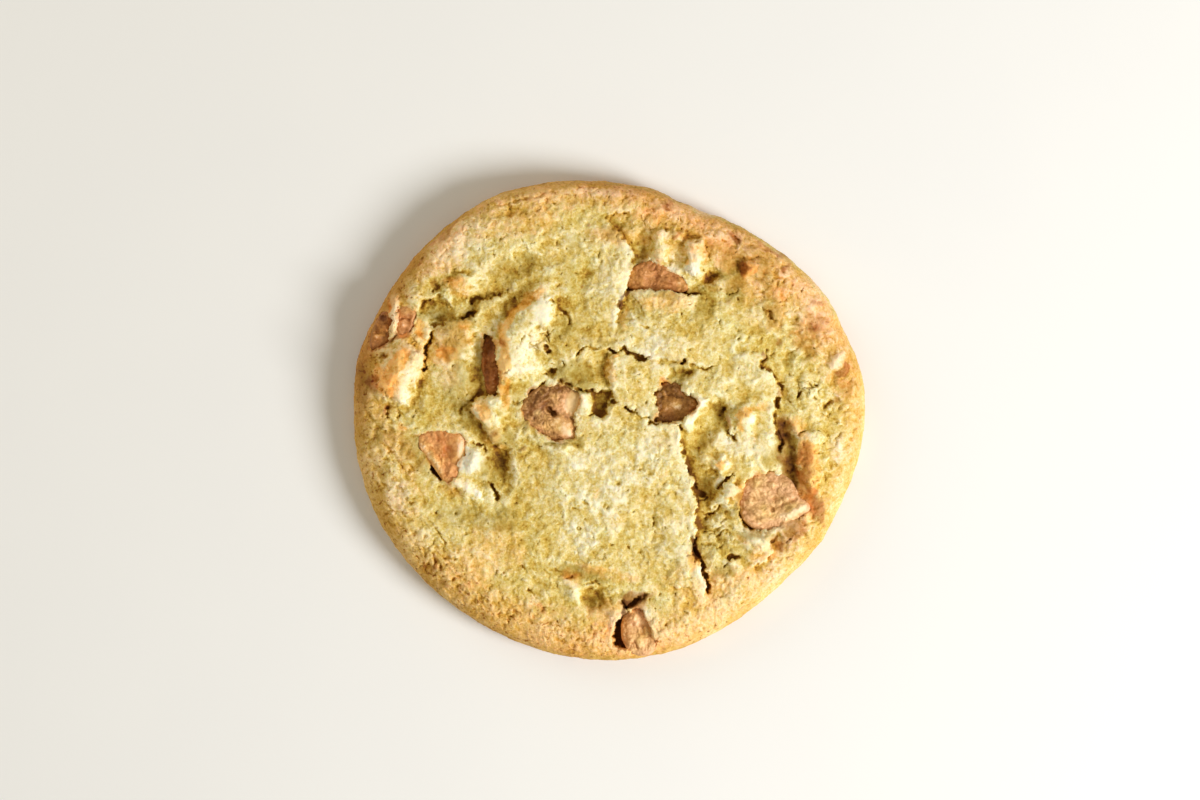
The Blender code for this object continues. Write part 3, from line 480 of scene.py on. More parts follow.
# cracks: path, width, depth
cracks = (
    (((-6.4, 11.4), (-5.8, 12.1), (-5, 12.6), (-4.8, 13.4), (-3.2, 13.3), (-2, 13.5)), 0.4, 1.3),
    (((-1.7, 13), (-0.2, 13), (0.8, 12.5), (1.6, 12.5), (2.6, 13.2), (3.4, 12.4), (4.6, 11.5), (5.8, 11.1),
      (7.6, 11.8)), 0.8, 2.6),
    (((9.6, 11.8), (10.6, 11), (12.4, 10.6), (13.2, 10.5), (15, 9.9), (17.2, 9.3), (18.4, 10.1),
      (19.6, 10)), 0.4, 1.1),
    (((2.6, 2.3), (3.6, 2), (4.8, 1.7)), 0.7, 2.2),
    (((4.6, 1.7), (6, 0.9), (7.4, 0.1)), 0.45, 1.3),
    (((6.8, -0.3), (8.8, -0.8), (11.2, -0.4), (12.4, -1), (13.2, -2)), 0.6, 2),
    (((-9.6, 7.3), (-7.5, 6.8), (-6, 6.2), (-5, 5.4), (-3.4, 5.15), (-0.6, 5.4)), 0.8, 1.9),
    (((-15.4, 2.9), (-14.4, 4.6), (-12.6, 6.2), (-11.2, 6.9)), 1, 2),
    (((-17.8, 3.2), (-15.3, 3.4)), 0.4, 1),
    (((13.2, -7.6), (14, -8.9), (15.2, -10.4)), 0.6, 1.5),
    (((15.2, -10.6), (16, -12.4), (15.9, -15.8)), 0.5, 1.2),
    (((14.8, -21), (15.2, -23), (16.3, -25)), 1.3, 3.2),
    (((16.2, -24.8), (17, -27), (17.6, -29), (17.7, -31.6)), 0.75, 2.4),
    (((14.8, -24.4), (13.6, -24.5)), 0.35, 0.8),
    (((19.6, -12.4), (20.6, -11.8), (21.4, -10.4), (23, -10)), 0.6, 1.7),
    (((16.2, -16.8), (18, -16.9), (20, -15.8), (21.6, -14.6)), 0.5, 0.9),
    (((16.8, -20.8), (18.4, -20), (19.4, -20.8), (20.8, -19.8), (22, -21.2)), 0.4, 0.8),
    (((17, -22.6), (18.6, -22.4), (19.6, -23.4), (20.8, -21.8), (21.8, -22.2)), 0.4, 0.7),
    (((20.6, -26.8), (21.6, -25.8), (22.6, -25)), 0.5, 1.5),
    (((18.2, -13.8), (16.2, -14.6)), 0.7, 1.2),
    (((30.8, -20.6), (29.8, -21.8), (29.2, -22.4)), 0.5, 1.2),
    (((29.4, -24.1), (28.6, -24.9), (27.4, -25.6)), 0.5, 1.1),
    (((28.2, 13.4), (28.7, 12), (27.6, 10.3)), 0.9, 1.3),
    (((27.3, 10.3), (28.6, 9), (29.4, 8.2), (30.4, 8)), 0.45, 1.2),
    (((30.6, 7.4), (31, 6), (30.9, 4.4)), 0.5, 1),
    (((30.6, 4.6), (30.4, 2.6), (30, 1), (30.2, -1.4)), 1, 2.8),
    (((30.2, -1.4), (30.6, -3), (31, -4.6), (31, -6)), 0.7, 2.2),
    (((34.4, -3.2), (35, -2.4), (35.8, -2.2)), 0.6, 1.4),
    (((20.8, 2.6), (21, 1), (21.4, -0.6), (22, -2), (23, -3.8)), 0.6, 1.6),
    (((3.7, 26.7), (3.9, 25), (3.7, 24.1), (2.8, 22.9), (2.1, 21.8), (1.2, 20)), 0.75, 2.5),
    (((-1, 36.9), (0.4, 37.2), (2, 37.6), (4, 38)), 0.4, 1.1),
    (((7, 24), (8, 23.6), (11, 23.5)), 0.6, 1.9),
    (((11, 23.5), (13, 23.2), (15.2, 22.9), (16.8, 22.6)), 0.5, 1.6),
    (((17.2, 32), (17.6, 30.6), (18.2, 28.8)), 0.55, 0.9),
    (((21.4, 34.2), (22.8, 33.2), (24, 32.1)), 0.5, 0.9),
    (((25.4, 32.3), (27, 31.4), (28, 30.5)), 0.45, 0.8),
    (((31, 27.3), (32, 28.4), (33.4, 28.9)), 0.6, 0.7),
    (((21.6, 22.8), (22.6, 23.3), (23.6, 24)), 0.5, 0.9),
    (((27.4, 20.6), (28.6, 19.8), (30.2, 18.2)), 0.55, 1),
    (((12, 37.2), (13.4, 36.4), (16.2, 35.4)), 0.4, 0.6),
    (((28, 25.2), (31, 25.6), (33, 26)), 0.5, 0.5),
    (((-9.2, 21.6), (-8.4, 20.4), (-7.4, 19), (-6.8, 17)), 0.45, 0.9),
    (((-10.2, 17), (-11, 16), (-11.2, 15.2), (-10.9, 14.4)), 0.45, 1.3),
    (((-12.3, 15.8), (-11.2, 15.4)), 0.5, 1.2),
    (((-11.4, 14), (-11.1, 12.4)), 0.9, 1.9),
    (((-8.7, 11), (-8.3, 10)), 0.55, 1.2),
    (((-20.3, 9.2), (-19, 8.8), (-17.8, 9.1)), 0.5, 1.3),
    (((-25, -3.5), (-23.6, -4), (-22.4, -4.7), (-21.9, -5.9)), 0.45, 1.3),
    (((-22.4, -10.6), (-21.6, -11.8), (-21, -12.4), (-20.5, -13.4), (-19.8, -14.6)), 0.65, 1.9),
    (((-32.3, 17), (-32.4, 15.2), (-32.9, 13.4), (-33, 11), (-32.9, 9.8), (-33.8, 8.7)), 0.6, 2.2),
    (((-43, 12.8), (-42, 13.5), (-40.4, 14)), 0.6, 1.4),
    (((-40.2, 14), (-39.2, 14.4), (-38.4, 15.5)), 0.6, 1.5),
    (((-38.2, 15.6), (-37.2, 15.7), (-36.4, 16.4), (-35.8, 18)), 0.55, 1.4),
    (((-38.8, 24.2), (-37.3, 23.6)), 0.55, 1.2),
    (((-34.6, 20.6), (-33.4, 21.8), (-32, 22.1)), 0.45, 1),
    (((-31.5, 22.6), (-31, 23)), 0.5, 0.9),
    (((-30, 22), (-28.6, 20.6)), 0.4, 0.6),
    (((-32.8, 17.6), (-31, 17.2), (-29.8, 17.6), (-28.4, 18.4)), 0.5, 1),
    (((-26.6, 18.8), (-25.4, 19), (-24.4, 20.2)), 0.9, 0.7),
    (((-25.6, 21.6), (-24.4, 21.9), (-23, 21.7)), 0.7, 1.1),
    (((-21.4, 23.2), (-19.6, 23.2), (-18, 22.8)), 0.4, 0.8),
    (((-40.6, 2.8), (-40.6, 1.6), (-40.4, 0.3)), 0.65, 1.2),
    (((-39, 0.9), (-37.6, 0.7)), 0.55, 0.9),
    (((-35.6, -1.2), (-34.9, -1.4)), 0.5, 0.7),
    (((-43.4, 1.2), (-42.8, 0.8)), 0.5, 0.7),
    (((-42.2, -1.4), (-41.2, -3.2), (-40.8, -5.4)), 0.35, 0.6),
    (((-40, -5.4), (-38.4, -7.2), (-37.4, -9)), 0.35, 0.6),
    (((-31.7, -19), (-30.6, -20.9), (-29.8, -22.6)), 0.45, 0.8),
    (((-31.7, -24), (-31.7, -27.6)), 0.7, 0.7),
    (((-14.8, -30.2), (-13.4, -32)), 0.45, 0.8),
    (((-12.6, -26.2), (-10.4, -28.2), (-8.6, -31.4)), 0.4, 0.5),
    (((-16.8, -26.2), (-15.4, -26.8)), 0.45, 0.7),
    (((-10.8, -26.6), (-8.8, -27.2)), 0.5, 0.6),
    (((-5, -29.3), (-3, -29.2), (-1.8, -29.8)), 0.4, 0.7),
    (((-7.8, -28.4), (-6.6, -28.4)), 0.6, 0.8),
    (((1.8, -32.2), (3, -33.5), (4.2, -33), (5.6, -32.3), (7.6, -31.2)), 0.9, 2.6),
    (((3.1, -33.4), (3.1, -34.8), (2.4, -36)), 0.65, 2.2),
    (((6.7, -36.2), (7.4, -37.6), (8, -39)), 0.45, 1.3),
    (((8.9, -40.2), (8.2, -41.2), (7.4, -42)), 0.4, 0.9),
    (((3.4, -41.4), (4.2, -42.4)), 0.4, 0.8),
    (((7.6, -16.8), (7.9, -17.8), (7.5, -19.2)), 0.5, 0.8),
    (((1.6, -19.8), (0.9, -20.4)), 0.4, 0.5),
    (((-7.4, -10.9), (-6.8, -12.4)), 0.35, 0.4),
    (((-17.6, -14.9), (-16.4, -15)), 0.35, 0.4),
    (((-22, 38.8), (-18.6, 39.6), (-15, 40.2), (-12.6, 41), (-9, 41.6)), 0.45, 0.5),
    (((-14.6, -1.4), (-12, -3.7), (-9.5, -4.5), (-7, -4.4), (-5, -3.8)), 0.8, 0.7),
    (((-24.2, 4.2), (-25.8, 3.2), (-27, 2), (-26.8, 0.8)), 0.6, 0.9),
)

# small pits, spots with their depth
pits = (
    (-10.5, 8.8, 1, 0.6, 30, 0.8), (-10.1, 9.4, 0.5, 0.5, 0.5), (-11.4, 8.5, 0.6, 0.4, 0.5),
    (22.2, -24.7, 1.2, 0.6, 10, 1.3), (-25.2, 19.2, 0.9, 0.6, 40, 0.8), (34.2, 4.7, 0.4, 0.25, 60, 1),
    (37.2, 6.4, 0.35, 0.25, 0.8), (37, 4.1, 0.3, 0.25, 0.5), (39.4, 3.2, 0.9, 0.3, 60, 0.5),
    (0.5, 3.3, 0.5, 0.35, 1.2), (13.2, 10.6, 0.6, 0.45, 1.4), (3.4, -22.9, 0.35, 0.3, 0.5),
    (0.4, -22.4, 0.45, 0.25, 30, 0.5), (-0.4, -15.6, 0.35, 0.25, 0.5), (-1.3, -15, 0.35, 0.25, 0.4),
    (7.2, -9.3, 0.4, 0.25, 0.4), (1.3, -11, 0.35, 0.25, 0.4), (-4.3, -14.8, 0.5, 0.35, 60, 0.5),
    (-6.4, -16.3, 0.5, 0.25, 0.4), (-10.5, 21.7, 0.5, 0.35, 0.8), (-10.6, 20.8, 0.4, 0.3, 0.6),
    (-40.7, 11.4, 0.8, 0.5, 0.6), (16.9, -13.2, 0.8, 0.6, 1),
)

# steep-sided hollows: outline, depth, softness of the side
hollows = (
    (((-3.1, 5.3), (-3.1, 1.9), (-3.8, 1.2), (-2.6, 0.9), (-1.7, 0.4), (-0.4, 1.2), (0, 2.5),
      (0, 5.3)), 2, 0.6),
    (((2.2, -35.8), (1.3, -36.7), (0.9, -38), (0.8, -39.5), (1.1, -40.8), (2.4, -41.3), (3.6, -41.5),
      (4, -40), (4, -38), (3.4, -36)), 5, 0.4),
    (((-35, 20.4), (-33.4, 22), (-31, 22.4), (-29.5, 21.2), (-28, 20), (-28.8, 18.6), (-31, 17.6),
      (-32.5, 17.3), (-34, 19)), 0.9, 1.1),
    (((10.2, 7), (10.4, 8.4), (11.4, 9.3), (13.6, 9.6), (14.9, 9), (14, 7.9), (13, 6.6),
      (12.6, 5)), 1.6, 0.9),
    (((-32.5, -7.9), (-31.6, -8.3), (-30, -10.3), (-30.4, -10.9), (-31.6, -10.2), (-32.4, -9)), 2.6, 0.35),
    (((23.8, -16.4), (25.2, -17.8), (27.4, -19), (27.6, -19.6), (26, -19.7), (24.6, -18.6)), 2.4, 0.4),
)

# broken, lumpy ground
tornGround = (
    (19.6, -18, 10.5, 4.6, 92, 0.8), (35.4, 5.2, 5.6, 4.4, 70, 1), (-12.5, 17, 6, 3.4, 60, 0.7),
    (-10, 11, 5, 3.4, 40, 0.8), (33, 18, 7, 5, 100, 0.8), (-40, 16.6, 4, 2.6, 70, 1), (13, 32, 6, 5, 0.5),
    (31, -21, 4, 3, 0.5),
)

# skin that has crazed into small cells
crazedGround = (
    (-13.6, 13.5, 4.4, 7.5, -15, 1.2), (-11, 20, 3, 3, 0.7), (36, 5.4, 4, 4, 1), (-4, 13, 3, 1.6, 0.6),
    (-34.5, 13.6, 5, 4, 0.7), (-28.4, 14.4, 4, 4, 0.6), (20, -17, 5, 9, 0.3), (-32, -24, 7, 9, 40, 0.7),
    (8, 36, 10, 5, -15, 0.5), (0, 5.4, 8, 5, 0.4), (27, 24, 6, 6, 0.5),
)

# smooth flanks: spots and strokes
smoothGround = ((
    (-4.2, 3, 1.2, 2, 1), (36.4, -7, 1.2, 5, 0.8), (24.8, 0.6, 2, 2, 0.8), (41.3, 10.8, 2.8, 1.6, 48, 1),
    (-8, 25.5, 6, 4, -35, 0.5), (25, 27.4, 2, 2, 0.6), (19.6, 0, 2, 4, -20, 0.6), (-20, -8.6, 2, 5, 0.6),
), (
    (((-34.3, 13), (-36.4, 7.6), (-38.4, 2)), 1.6, 1.6, 0.5),
    (((-11, 23.4), (-16.6, 19.6), (-19.2, 14.6), (-19, 8)), 0.6, 1.4, 0.5),
    (((-38.7, 23), (-38.8, 19.8), (-39, 17)), 1, 1, 1),
    (((13, -1.4), (15, 1.2), (17.4, 4.6)), 1.4, 1.4, 0.7),
))


def outlineRadius(angle):
    radius = np.full_like(angle, dough["radius"])
    for count, height, crest in dough["waves"]:
        radius += height * np.cos(count * (angle - math.radians(crest)))
    for middle, width, height in dough["knocks"]:
        away = np.degrees(np.angle(np.exp(1j * (angle - math.radians(middle)))))
        radius += height * np.exp(-((away / width) ** 2))
    return radius


def relief(x, y, wx, wy):
    height = dough["swell"] * spread(wx, wy, swells, ridges)
    ragged = uneven(x, y, 1.3, 51)
    rough = uneven(x, y, 3.2, 52)
    for path, drop, highReach, lowReach, soft in cliffs:
        near, away, side, place = fromPath(wx, wy, path, max(highReach, lowReach))
        step = np.sin(np.clip(side * away / (soft * (1.2 + rough[near])), -1, 1) * math.pi / 2)
        reach = np.where(side > 0, highReach, lowReach)
        height[near] += step * drop / 2 * bell(away / reach) * tapered(place)
    form = dough["crackForm"]
    for path, width, depth in cracks:
        near, away, side, place = fromPath(wx, wy, path, 2 * width)
        share = np.clip(0.85 + 0.9 * ragged[near] + 0.5 * rough[near], form["narrowest"], form["widest"])
        groove = np.clip(1 - away / (form["width"] * width * share), 0, 1) ** form["sides"]
        height[near] -= form["depth"] * depth * groove * np.minimum(share, 1) * tapered(place, form["ends"])
    for *ellipse, depth in pits:
        height -= depth * dent(wx, wy, *ellipse)
    for loop, depth, soft in hollows:
        near, inside = insideLoop(wx, wy, loop)
        height[near] -= depth * eased(0.5 + inside / (2 * soft))
    torn = np.clip(spread(x, y, tornGround), 0, 1)
    height += torn * (0.5 * uneven(x, y, 2.4, 9) + 0.3 * uneven(x, y, 1.0, 53))
    for layer, (size, amount) in enumerate(dough["skin"]):
        height += amount * uneven(x, y, size, layer + 11)
    return height, torn


def doughTop(x, y, inward):
    wx, wy = wandered(x, y, dough["wander"])
    out = np.clip(np.hypot(x, y) / dough["radius"], 0, 1)
    turn = bearings(x, y)
    lift, torn = relief(x, y, wx, wy)
    height = dough["rim"] + (dough["crown"] - dough["rim"]) * (1 - out**2) + lift
    # hair cracks of the skin: thin lines where a slow noise changes sign, only here and there
    form = dough["hairCracks"]
    lines = np.abs(uneven(wx, wy, form["size"], 61))
    where = eased((uneven(x, y, form["patches"], 62) - 0.1) / 0.3)
    height -= form["depth"] * where * np.clip(1 - lines / form["width"], 0, 1)
    # skin crazed into cells
    form = dough["cells"]
    crazed = spread(x, y, crazedGround)
    near = np.flatnonzero(crazed > 0.02)
    borders = cellBorders(wx[near], wy[near], form["size"], 77)
    fade = np.clip(0.6 + 1.2 * uneven(x[near], y[near], form["patches"], 78), 0, 1)
    crazing = np.zeros_like(x)
    crazing[near] = np.minimum(crazed[near], 1) * fade * np.clip(1.2 - borders / form["width"], 0, 1)
    height -= form["depth"] * crazing
    form = dough["holes"]
    height -= form["depth"] * eased((uneven(wx, wy, form["size"], 63) - 0.5) / 0.2)
    # the rim is rougher, with pits
    form = dough["rimPits"]
    rough = eased((out - form["inner"]) / 0.12) * byDirection(turn, dough["rimRough"])[0]
    height -= form["depth"] * rough * eased((uneven(wx, wy, form["size"], 76) - 0.15) / 0.25)
    calm = 1 - 0.75 * np.clip(spread(x, y, *smoothGround), 0, 1)
    for layer, (size, amount) in enumerate(dough["crumbs"]):
        share = calm * (1 + 0.5 * torn + 0.25 * rough)
        height += amount * share * lumps(wx, wy, size, layer + 64)
    for opening in openings.values():
        near, inside = insideLoop(wx, wy, opening["loop"])
        under = np.minimum(height[near], opening["level"] - dough["chipSink"])
        height[near] += (under - height[near]) * eased(0.5 + inside / (2 * dough["lip"]))
    height = np.maximum(height, dough["floor"])
    curl = np.clip(1 - inward / byDirection(turn, dough["rounding"])[0], 0, 1)
    rounded = (1 - curl**2) ** dough["fullness"]
    return dough["widest"] + (height - dough["widest"]) * rounded, crazing


def makeDough():
    count = dough["steps"]
    cookie, x, y, inward = addSheet("cookie_crumb", count, (0, 0), outlineRadius, dough["shoulder"])
    z, crazing = doughTop(x, y, inward)
    movePlaces(cookie, np.stack([x, y, z], axis=1))
    print("dough: top shaped", len(z), "points")
    closeBelow(cookie, (0, 0), dough["side"], 0)
    # how deep each point lies under the ground around it, which the colour uses to paint shade into recesses
    grid = z.reshape(count + 1, count + 1)
    edgeFade = eased(inward / 2.5)
    for name, size in (("sunkenFine", 4), ("sunkenWide", 18)):
        writeAttribute(cookie, name, (blurred(grid, size) - grid).ravel() * edgeFade)
    writeAttribute(cookie, "crazing", crazing)

    # the grain of the crumb, pushed out along the normals
    places = placesOf(cookie)
    px, py, pz = places.T
    out = np.hypot(px, py)
    push = np.zeros(len(places))
    for layer, (size, amount) in enumerate(dough["grain"]):
        push += amount * uneven(px, py, size, layer + 71, pz)
    form = dough["rimLumps"]
    push += form["height"] * eased((out - form["inner"]) / 6) * uneven(px, py, form["size"], 75, pz)
    # steep walls crumble
    form = dough["walls"]
    normals = normalsOf(cookie)
    steep = eased((0.85 - normals[:, 2]) / 0.5) * eased((form["outer"] - out) / 3)
    push += form["height"] * steep * lumps(px, py, form["size"], 74, pz)
    push *= eased((pz - 0.05) / 0.5)                     # the foot stays flat
    movePlaces(cookie, places + normals * push[:, None])
    select(cookie)
    thin = cookie.modifiers.new("thin", "DECIMATE")
    thin.ratio = dough["triangles"] / (2 * len(cookie.data.polygons))
    bpy.ops.object.modifier_apply(modifier=thin.name)
    places = placesOf(cookie)
    places[:, 2] = np.where(places[:, 2] < 0.1, 0, places[:, 2])
    highest = places[:, 2].max()
    low, high = np.array(cadLow) / mm, np.array(cadHigh) / mm
    movePlaces(cookie, np.clip(places, low + (dough["margin"], dough["margin"], 0), high - dough["margin"]))
    cookie.data.shade_smooth()
    print("dough:", len(cookie.data.polygons), "triangles, highest", round(highest, 2))
    return cookie


# stains of the dough: spots, then strokes. Toasted, orange and brown are browning; olive and dark are
# painted shade; pale and white are paler crumb, in places painted light
tints = dict(
    toasted=((
        (-37, 13.4, 4.4, 4.6, 0.6), (-28, 15.2, 4.6, 3.6, 0.8), (-35, 9, 4, 4.4, 0.5),
        (-21.4, -2.4, 2.4, 3, 0.6), (0.3, 9.4, 1.5, 3.6, 0.8), (-38, -4, 4.4, 4, 0.5),
        (-25.6, 2.2, 1.2, 2.2, 20, 0.3), (-30, 30, 9, 4, 42, 0.6), (12, 31, 7, 5, 0.4),
        (-12, -33, 7, 4, -15, 0.3), (27, 22, 8, 9, -20, 0.4), (20.4, 30, 5, 4, -20, 0.7), (-29, 8, 3, 3, 0.5),
        (-36, -8, 3, 3, 0.5), (-36, -14, 4, 6, 20, 0.4), (-16, 36, 12, 4, 18, 0.6), (2, 33.6, 9, 2.4, 0.7),
        (7, 37, 4, 3, 0.7), (-33, 14, 5, 5, 0.5), (-38.5, 6, 2.4, 3, 0.8), (-27, 24, 3.6, 2.4, 0.8),
        (-28, 28.4, 3, 2, 30, 0.3), (-26, -27, 8, 4, -45, 0.5), (-28, -12, 4, 3, 0.5), (1, -36, 7, 5, 0.9),
        (17, -31, 8, 4, 30, 0.7), (30, 20, 3, 5, 0.5), (28, -24, 3, 2, 0.5), (27.6, -20.4, 4.4, 1.8, -5, 0.3),
        (23.4, -13.4, 3, 3.4, 0.7), (-21, -23, 8, 7, -40, 0.5), (28, -23.4, 5, 2.4, 30, 0.6),
        (24.6, -28, 4, 2, 30, 0.5), (36, 15, 4, 6, 0.6), (10, 21.6, 7, 2.6, 0.8), (-7, -29, 3, 2, 0.4),
        (-30, 11.5, 4, 2, 0.5),
    ), (
        (((15.6, 26.6), (19.6, 24.4), (24, 24.6), (28, 22)), 2.4, 1.6, 0.5),
        (((-24.8, 3.6), (-24, 1.4), (-22.8, -1)), 1.4, 0.8, 0.4),
        (((3.2, 21.6), (2.2, 18.4), (2.6, 16)), 1.2, 0.6, 0.6),
        (((14.4, -25), (12, -29), (6, -31)), 2.4, 2.4, 0.4),
    )),
    orange=((
        (-30, 12.6, 2, 1.5, 20, 0.9), (-34.4, 17, 1.6, 2.4, 0.8), (-26, 17.4, 2, 1.6, 0.6),
        (-28, 25.2, 3.4, 1.5, 5, 0.6), (-28, 33, 4, 2.4, 40, 0.3), (24.6, 1.4, 2.2, 1.3, 20, 1),
        (23.6, -0.6, 0.8, 2, 10, 0.9), (27.6, 2.4, 2, 0.9, 10, 0.4), (20.2, -8, 1.5, 1.4, 1),
        (1.2, 12, 1, 0.6, 0.6), (9.4, 6.8, 0.7, 1.4, 0.6), (10, -9, 1.1, 0.5, 30, 0.5),
        (8.6, -9.8, 0.7, 0.4, 0.4), (-2.4, -13.2, 1, 1.3, 0.35), (15.6, 31, 1.2, 1.6, 0.4),
        (14.4, 28.4, 1.6, 0.8, 10, 0.5), (12.8, 33.4, 1.6, 1.4, 0.5), (25.4, 27.4, 1.4, 1.6, 0.5),
        (33.4, 15.6, 2, 1.4, 0.4), (24.6, -21.6, 1.5, 1, 0.6), (-13, -34.5, 3, 2, 0.3),
        (-37.8, -1, 1.3, 1.4, 60, 0.5), (17, -36.4, 3.4, 1.2, 35, 0.3), (36.4, -17, 2.8, 4.6, 0.4),
        (34, -1, 2, 3, 40, 0.6), (26.4, -3, 0.8, 1.6, 0.3), (-19, 11, 1.5, 5, 1), (-19, 4, 1.4, 3.4, 10, 0.8),
        (35, -7, 1.8, 5, -5, 0.9), (-39.6, 6.4, 1.8, 3, -20, 0.8), (-28.8, 11.6, 3, 1.8, 0.4),
        (24.8, 27.4, 2.4, 2.6, 0.6), (-23, 2, 2, 3.4, 20, 0.8), (43.4, 6, 1.6, 2.6, 0.3),
        (15.4, -25, 2, 3, 0.8), (-7, -28, 3.4, 1.4, -10, 0.5), (-20, -5, 2, 1.4, 0.4),
        (-34, -7, 2, 3, 40, 0.3), (32, 22, 2, 3, 0.3),
    ), (
        (((-10, 24.4), (-13.6, 22.4), (-16.8, 20), (-19, 16.4), (-19.6, 12.6)), 0.9, 1.6, 0.8),
        (((-18.2, 7.8), (-18.4, 6.2), (-18.8, 4.6)), 0.8, 0.8, 0.8),
        (((-40.4, 22), (-40.2, 20.6), (-39.8, 19.4)), 0.7, 0.7, 0.7),
        (((-35.6, 13), (-38.4, 9.6), (-40.2, 6.4), (-40.8, 3.6)), 1.2, 2.2, 1.1),
        (((-41.4, 10.8), (-42.4, 8.4), (-42, 5.4)), 1.6, 1.4, 0.6),
        (((-39, 12.6), (-37.4, 11.4)), 0.9, 0.9, 0.3),
        (((-8, -24.6), (-3, -27.2), (3, -28.6), (8, -29)), 1.6, 1.2, 0.4),
        (((39.4, 9), (41, 6.4), (43.4, 8)), 1.4, 1.8, 0.4),
        (((35.4, -2.6), (36, -7.2), (35.8, -11), (35.4, -14.6)), 2.8, 1.5, 1.2),
    )),
    brown=((
        (-43, 6.8, 1.5, 2.4, 0.8), (-17.8, 20.8, 1.5, 0.9, 50, 0.4), (-19.4, 14, 0.8, 1.4, 0.6),
        (-15.8, -5, 1.6, 0.5, 10, 0.6), (-21.2, -2.2, 1.2, 0.9, 60, 0.5), (-31.6, 24.6, 1.1, 1.3, 0.6),
        (23.9, 27.6, 0.9, 1.8, 0.9), (-3.6, 35.6, 0.7, 0.7, 0.6), (6.2, 29.6, 1.8, 1.4, 0.35),
        (5.8, 33.4, 1.2, 0.9, 0.3), (12.2, 33, 1.1, 0.8, 0.5), (13.6, 34.6, 0.6, 0.5, 0.6),
        (17.6, 26, 1.5, 0.7, -20, 0.6), (36.4, -13.6, 1.9, 1.3, 40, 1), (38.2, -16.6, 1.5, 2.4, 10, 1.1),
        (34, -19.4, 2.4, 3, 60, 0.9), (33.4, -18.6, 1.6, 1.1, 30, 0.9), (39, -18.8, 0.8, 0.7, 0.6),
        (-11.8, -34.6, 1.2, 1, 40, 0.5), (30.6, 14.4, 0.8, 0.8, 0.7), (35.4, -8, 1.7, 7.4, -4, 0.7),
        (42.4, 5, 2, 3, 0.25), (-7, -28.2, 0.9, 0.7, 0.4), (-40.7, 11.5, 1, 0.7, 0.7),
        (-44, 4.4, 1, 1.2, 0.4), (27.9, 11.6, 0.7, 1.5, 20, 0.7), (21.8, 21.4, 1.2, 0.8, 60, 0.3),
        (32, 28, 1.6, 0.8, 45, 0.6), (22.8, 33.4, 2.4, 1.1, -40, 0.9), (10.6, 39.2, 2, 1.1, -20, 0.5),
        (38, 17.6, 4, 2.6, 100, 0.45), (-26.4, -31, 2.2, 1.8, 0.3), (-34.4, -26.8, 1.8, 0.8, -30, 0.5),
        (-30, -29.4, 2, 1, -20, 0.4), (-22.8, -31.4, 1, 1, 60, 0.4), (-24.6, -20.6, 1, 0.8, 0.5),
        (-16.4, 27.4, 0.6, 0.5, 0.5), (-5, 24, 0.8, 0.5, 0.7), (-18.6, 24, 1.3, 0.8, 0.5),
        (21.4, 0.4, 0.7, 2.6, 5, 0.6), (40.6, 3.6, 1.8, 0.7, 50, 0.6), (-30.8, -17.6, 0.8, 0.8, 0.3),
        (5, -33, 4, 2, 0.6), (13.2, 10.4, 0.9, 0.4, -20, 0.6), (31, 5.6, 0.5, 2, 0.5),
        (18.6, -12.6, 1, 1.6, 20, 0.3), (5, -32.2, 3.6, 1.6, 15, 0.9), (37.2, -14.8, 2.2, 4, 0.6),
        (24.2, 27.4, 1.6, 2.2, 0.5), (31.6, -21, 3, 4, -40, 0.6), (-13.6, 5.4, 2, 0.9, 40, 0.7),
        (-8, 7.2, 2.6, 0.6, -10, 0.5), (30.6, -6.6, 1.6, 2.4, 0.3), (15.2, -23, 1, 2.6, 0.5),
    ), (
        (((-26.2, 37.4), (-29.6, 34.6), (-33.4, 30.6), (-36.6, 26)), 0.9, 0.7, 0.4),
        (((-20, 38.4), (-23.5, 37.6), (-27, 35.8)), 0.6, 0.7, 0.25),
        (((-22, 39.3), (-18.6, 39.7), (-15, 40.3), (-9, 41.7)), 0.5, 0.5, 0.35),
        (((-40.6, 2.8), (-40.5, 0.4)), 0.6, 0.6, 0.8),
        (((-31.7, -24), (-31.7, -27.8)), 0.7, 0.7, 0.5),
        (((26, 33), (29, 31), (33.4, 29.4)), 0.8, 0.7, 0.5),
        (((36.4, 21.8), (39.4, 21)), 0.6, 0.6, 0.5),
        (((-43, 13), (-41, 13.8), (-38.4, 15.2), (-36.6, 15.6), (-35.6, 17.6)), 0.5, 0.5, 0.8),
        # painted shade in brown on the canyon floor
        (((31, 3), (31.2, 0), (31.6, -3), (32.2, -6), (32.6, -9), (33.6, -14)), 2.4, 2, 0.65),
        (((40.4, 7.6), (42, 9), (43.8, 10.6)), 0.6, 0.9, 1),
    )),
    # painted shade in olive, on valleys, slopes turned from the light and cast shadows
    olive=((
        (-17, 28, 8, 2.6, 15, 0.55), (-31.2, 19.8, 3.2, 1.9, 0.6), (-6, 8, 4.8, 4, 1.1),
        (-1.6, 3.1, 1.6, 2.2, 1), (12.6, 8, 2.6, 2, 20, 1.1), (-2.8, -32.4, 2.6, 2.4, 0.6),
        (-19.6, -8.6, 5, 1.5, 95, 0.5), (17.2, -12.4, 2.8, 1.6, 100, 0.4), (-10.6, 8.8, 1.1, 0.8, 30, 0.8),
        (20, 1.6, 2, 2, -30, 0.6), (-33, -8, 2.6, 3.4, 20, 0.7), (-31, 3, 4, 4.6, 100, 0.2),
        (-45, 7, 2.2, 7, 0.6), (-44, 14, 1.1, 2.4, -10, 0.5), (6.2, 30, 1.2, 1.6, 0.4),
        (-34.8, 23.4, 1.6, 1.9, -40, 0.2), (-18, 25.6, 2.4, 1.8, 20, 0.4), (17.6, 23.8, 2.4, 0.7, 10, 0.8),
        (-18.8, -18, 2.8, 3.4, 0.9), (3.8, -18.8, 2.4, 0.9, 25, 0.4), (20.6, -16.4, 3.6, 0.8, 20, 0.4),
        (21.2, -20.8, 3.4, 0.7, 20, 0.4), (31.8, 9.8, 1, 1.5, 20, 0.6), (36.4, 11, 2.2, 2.6, 0.3),
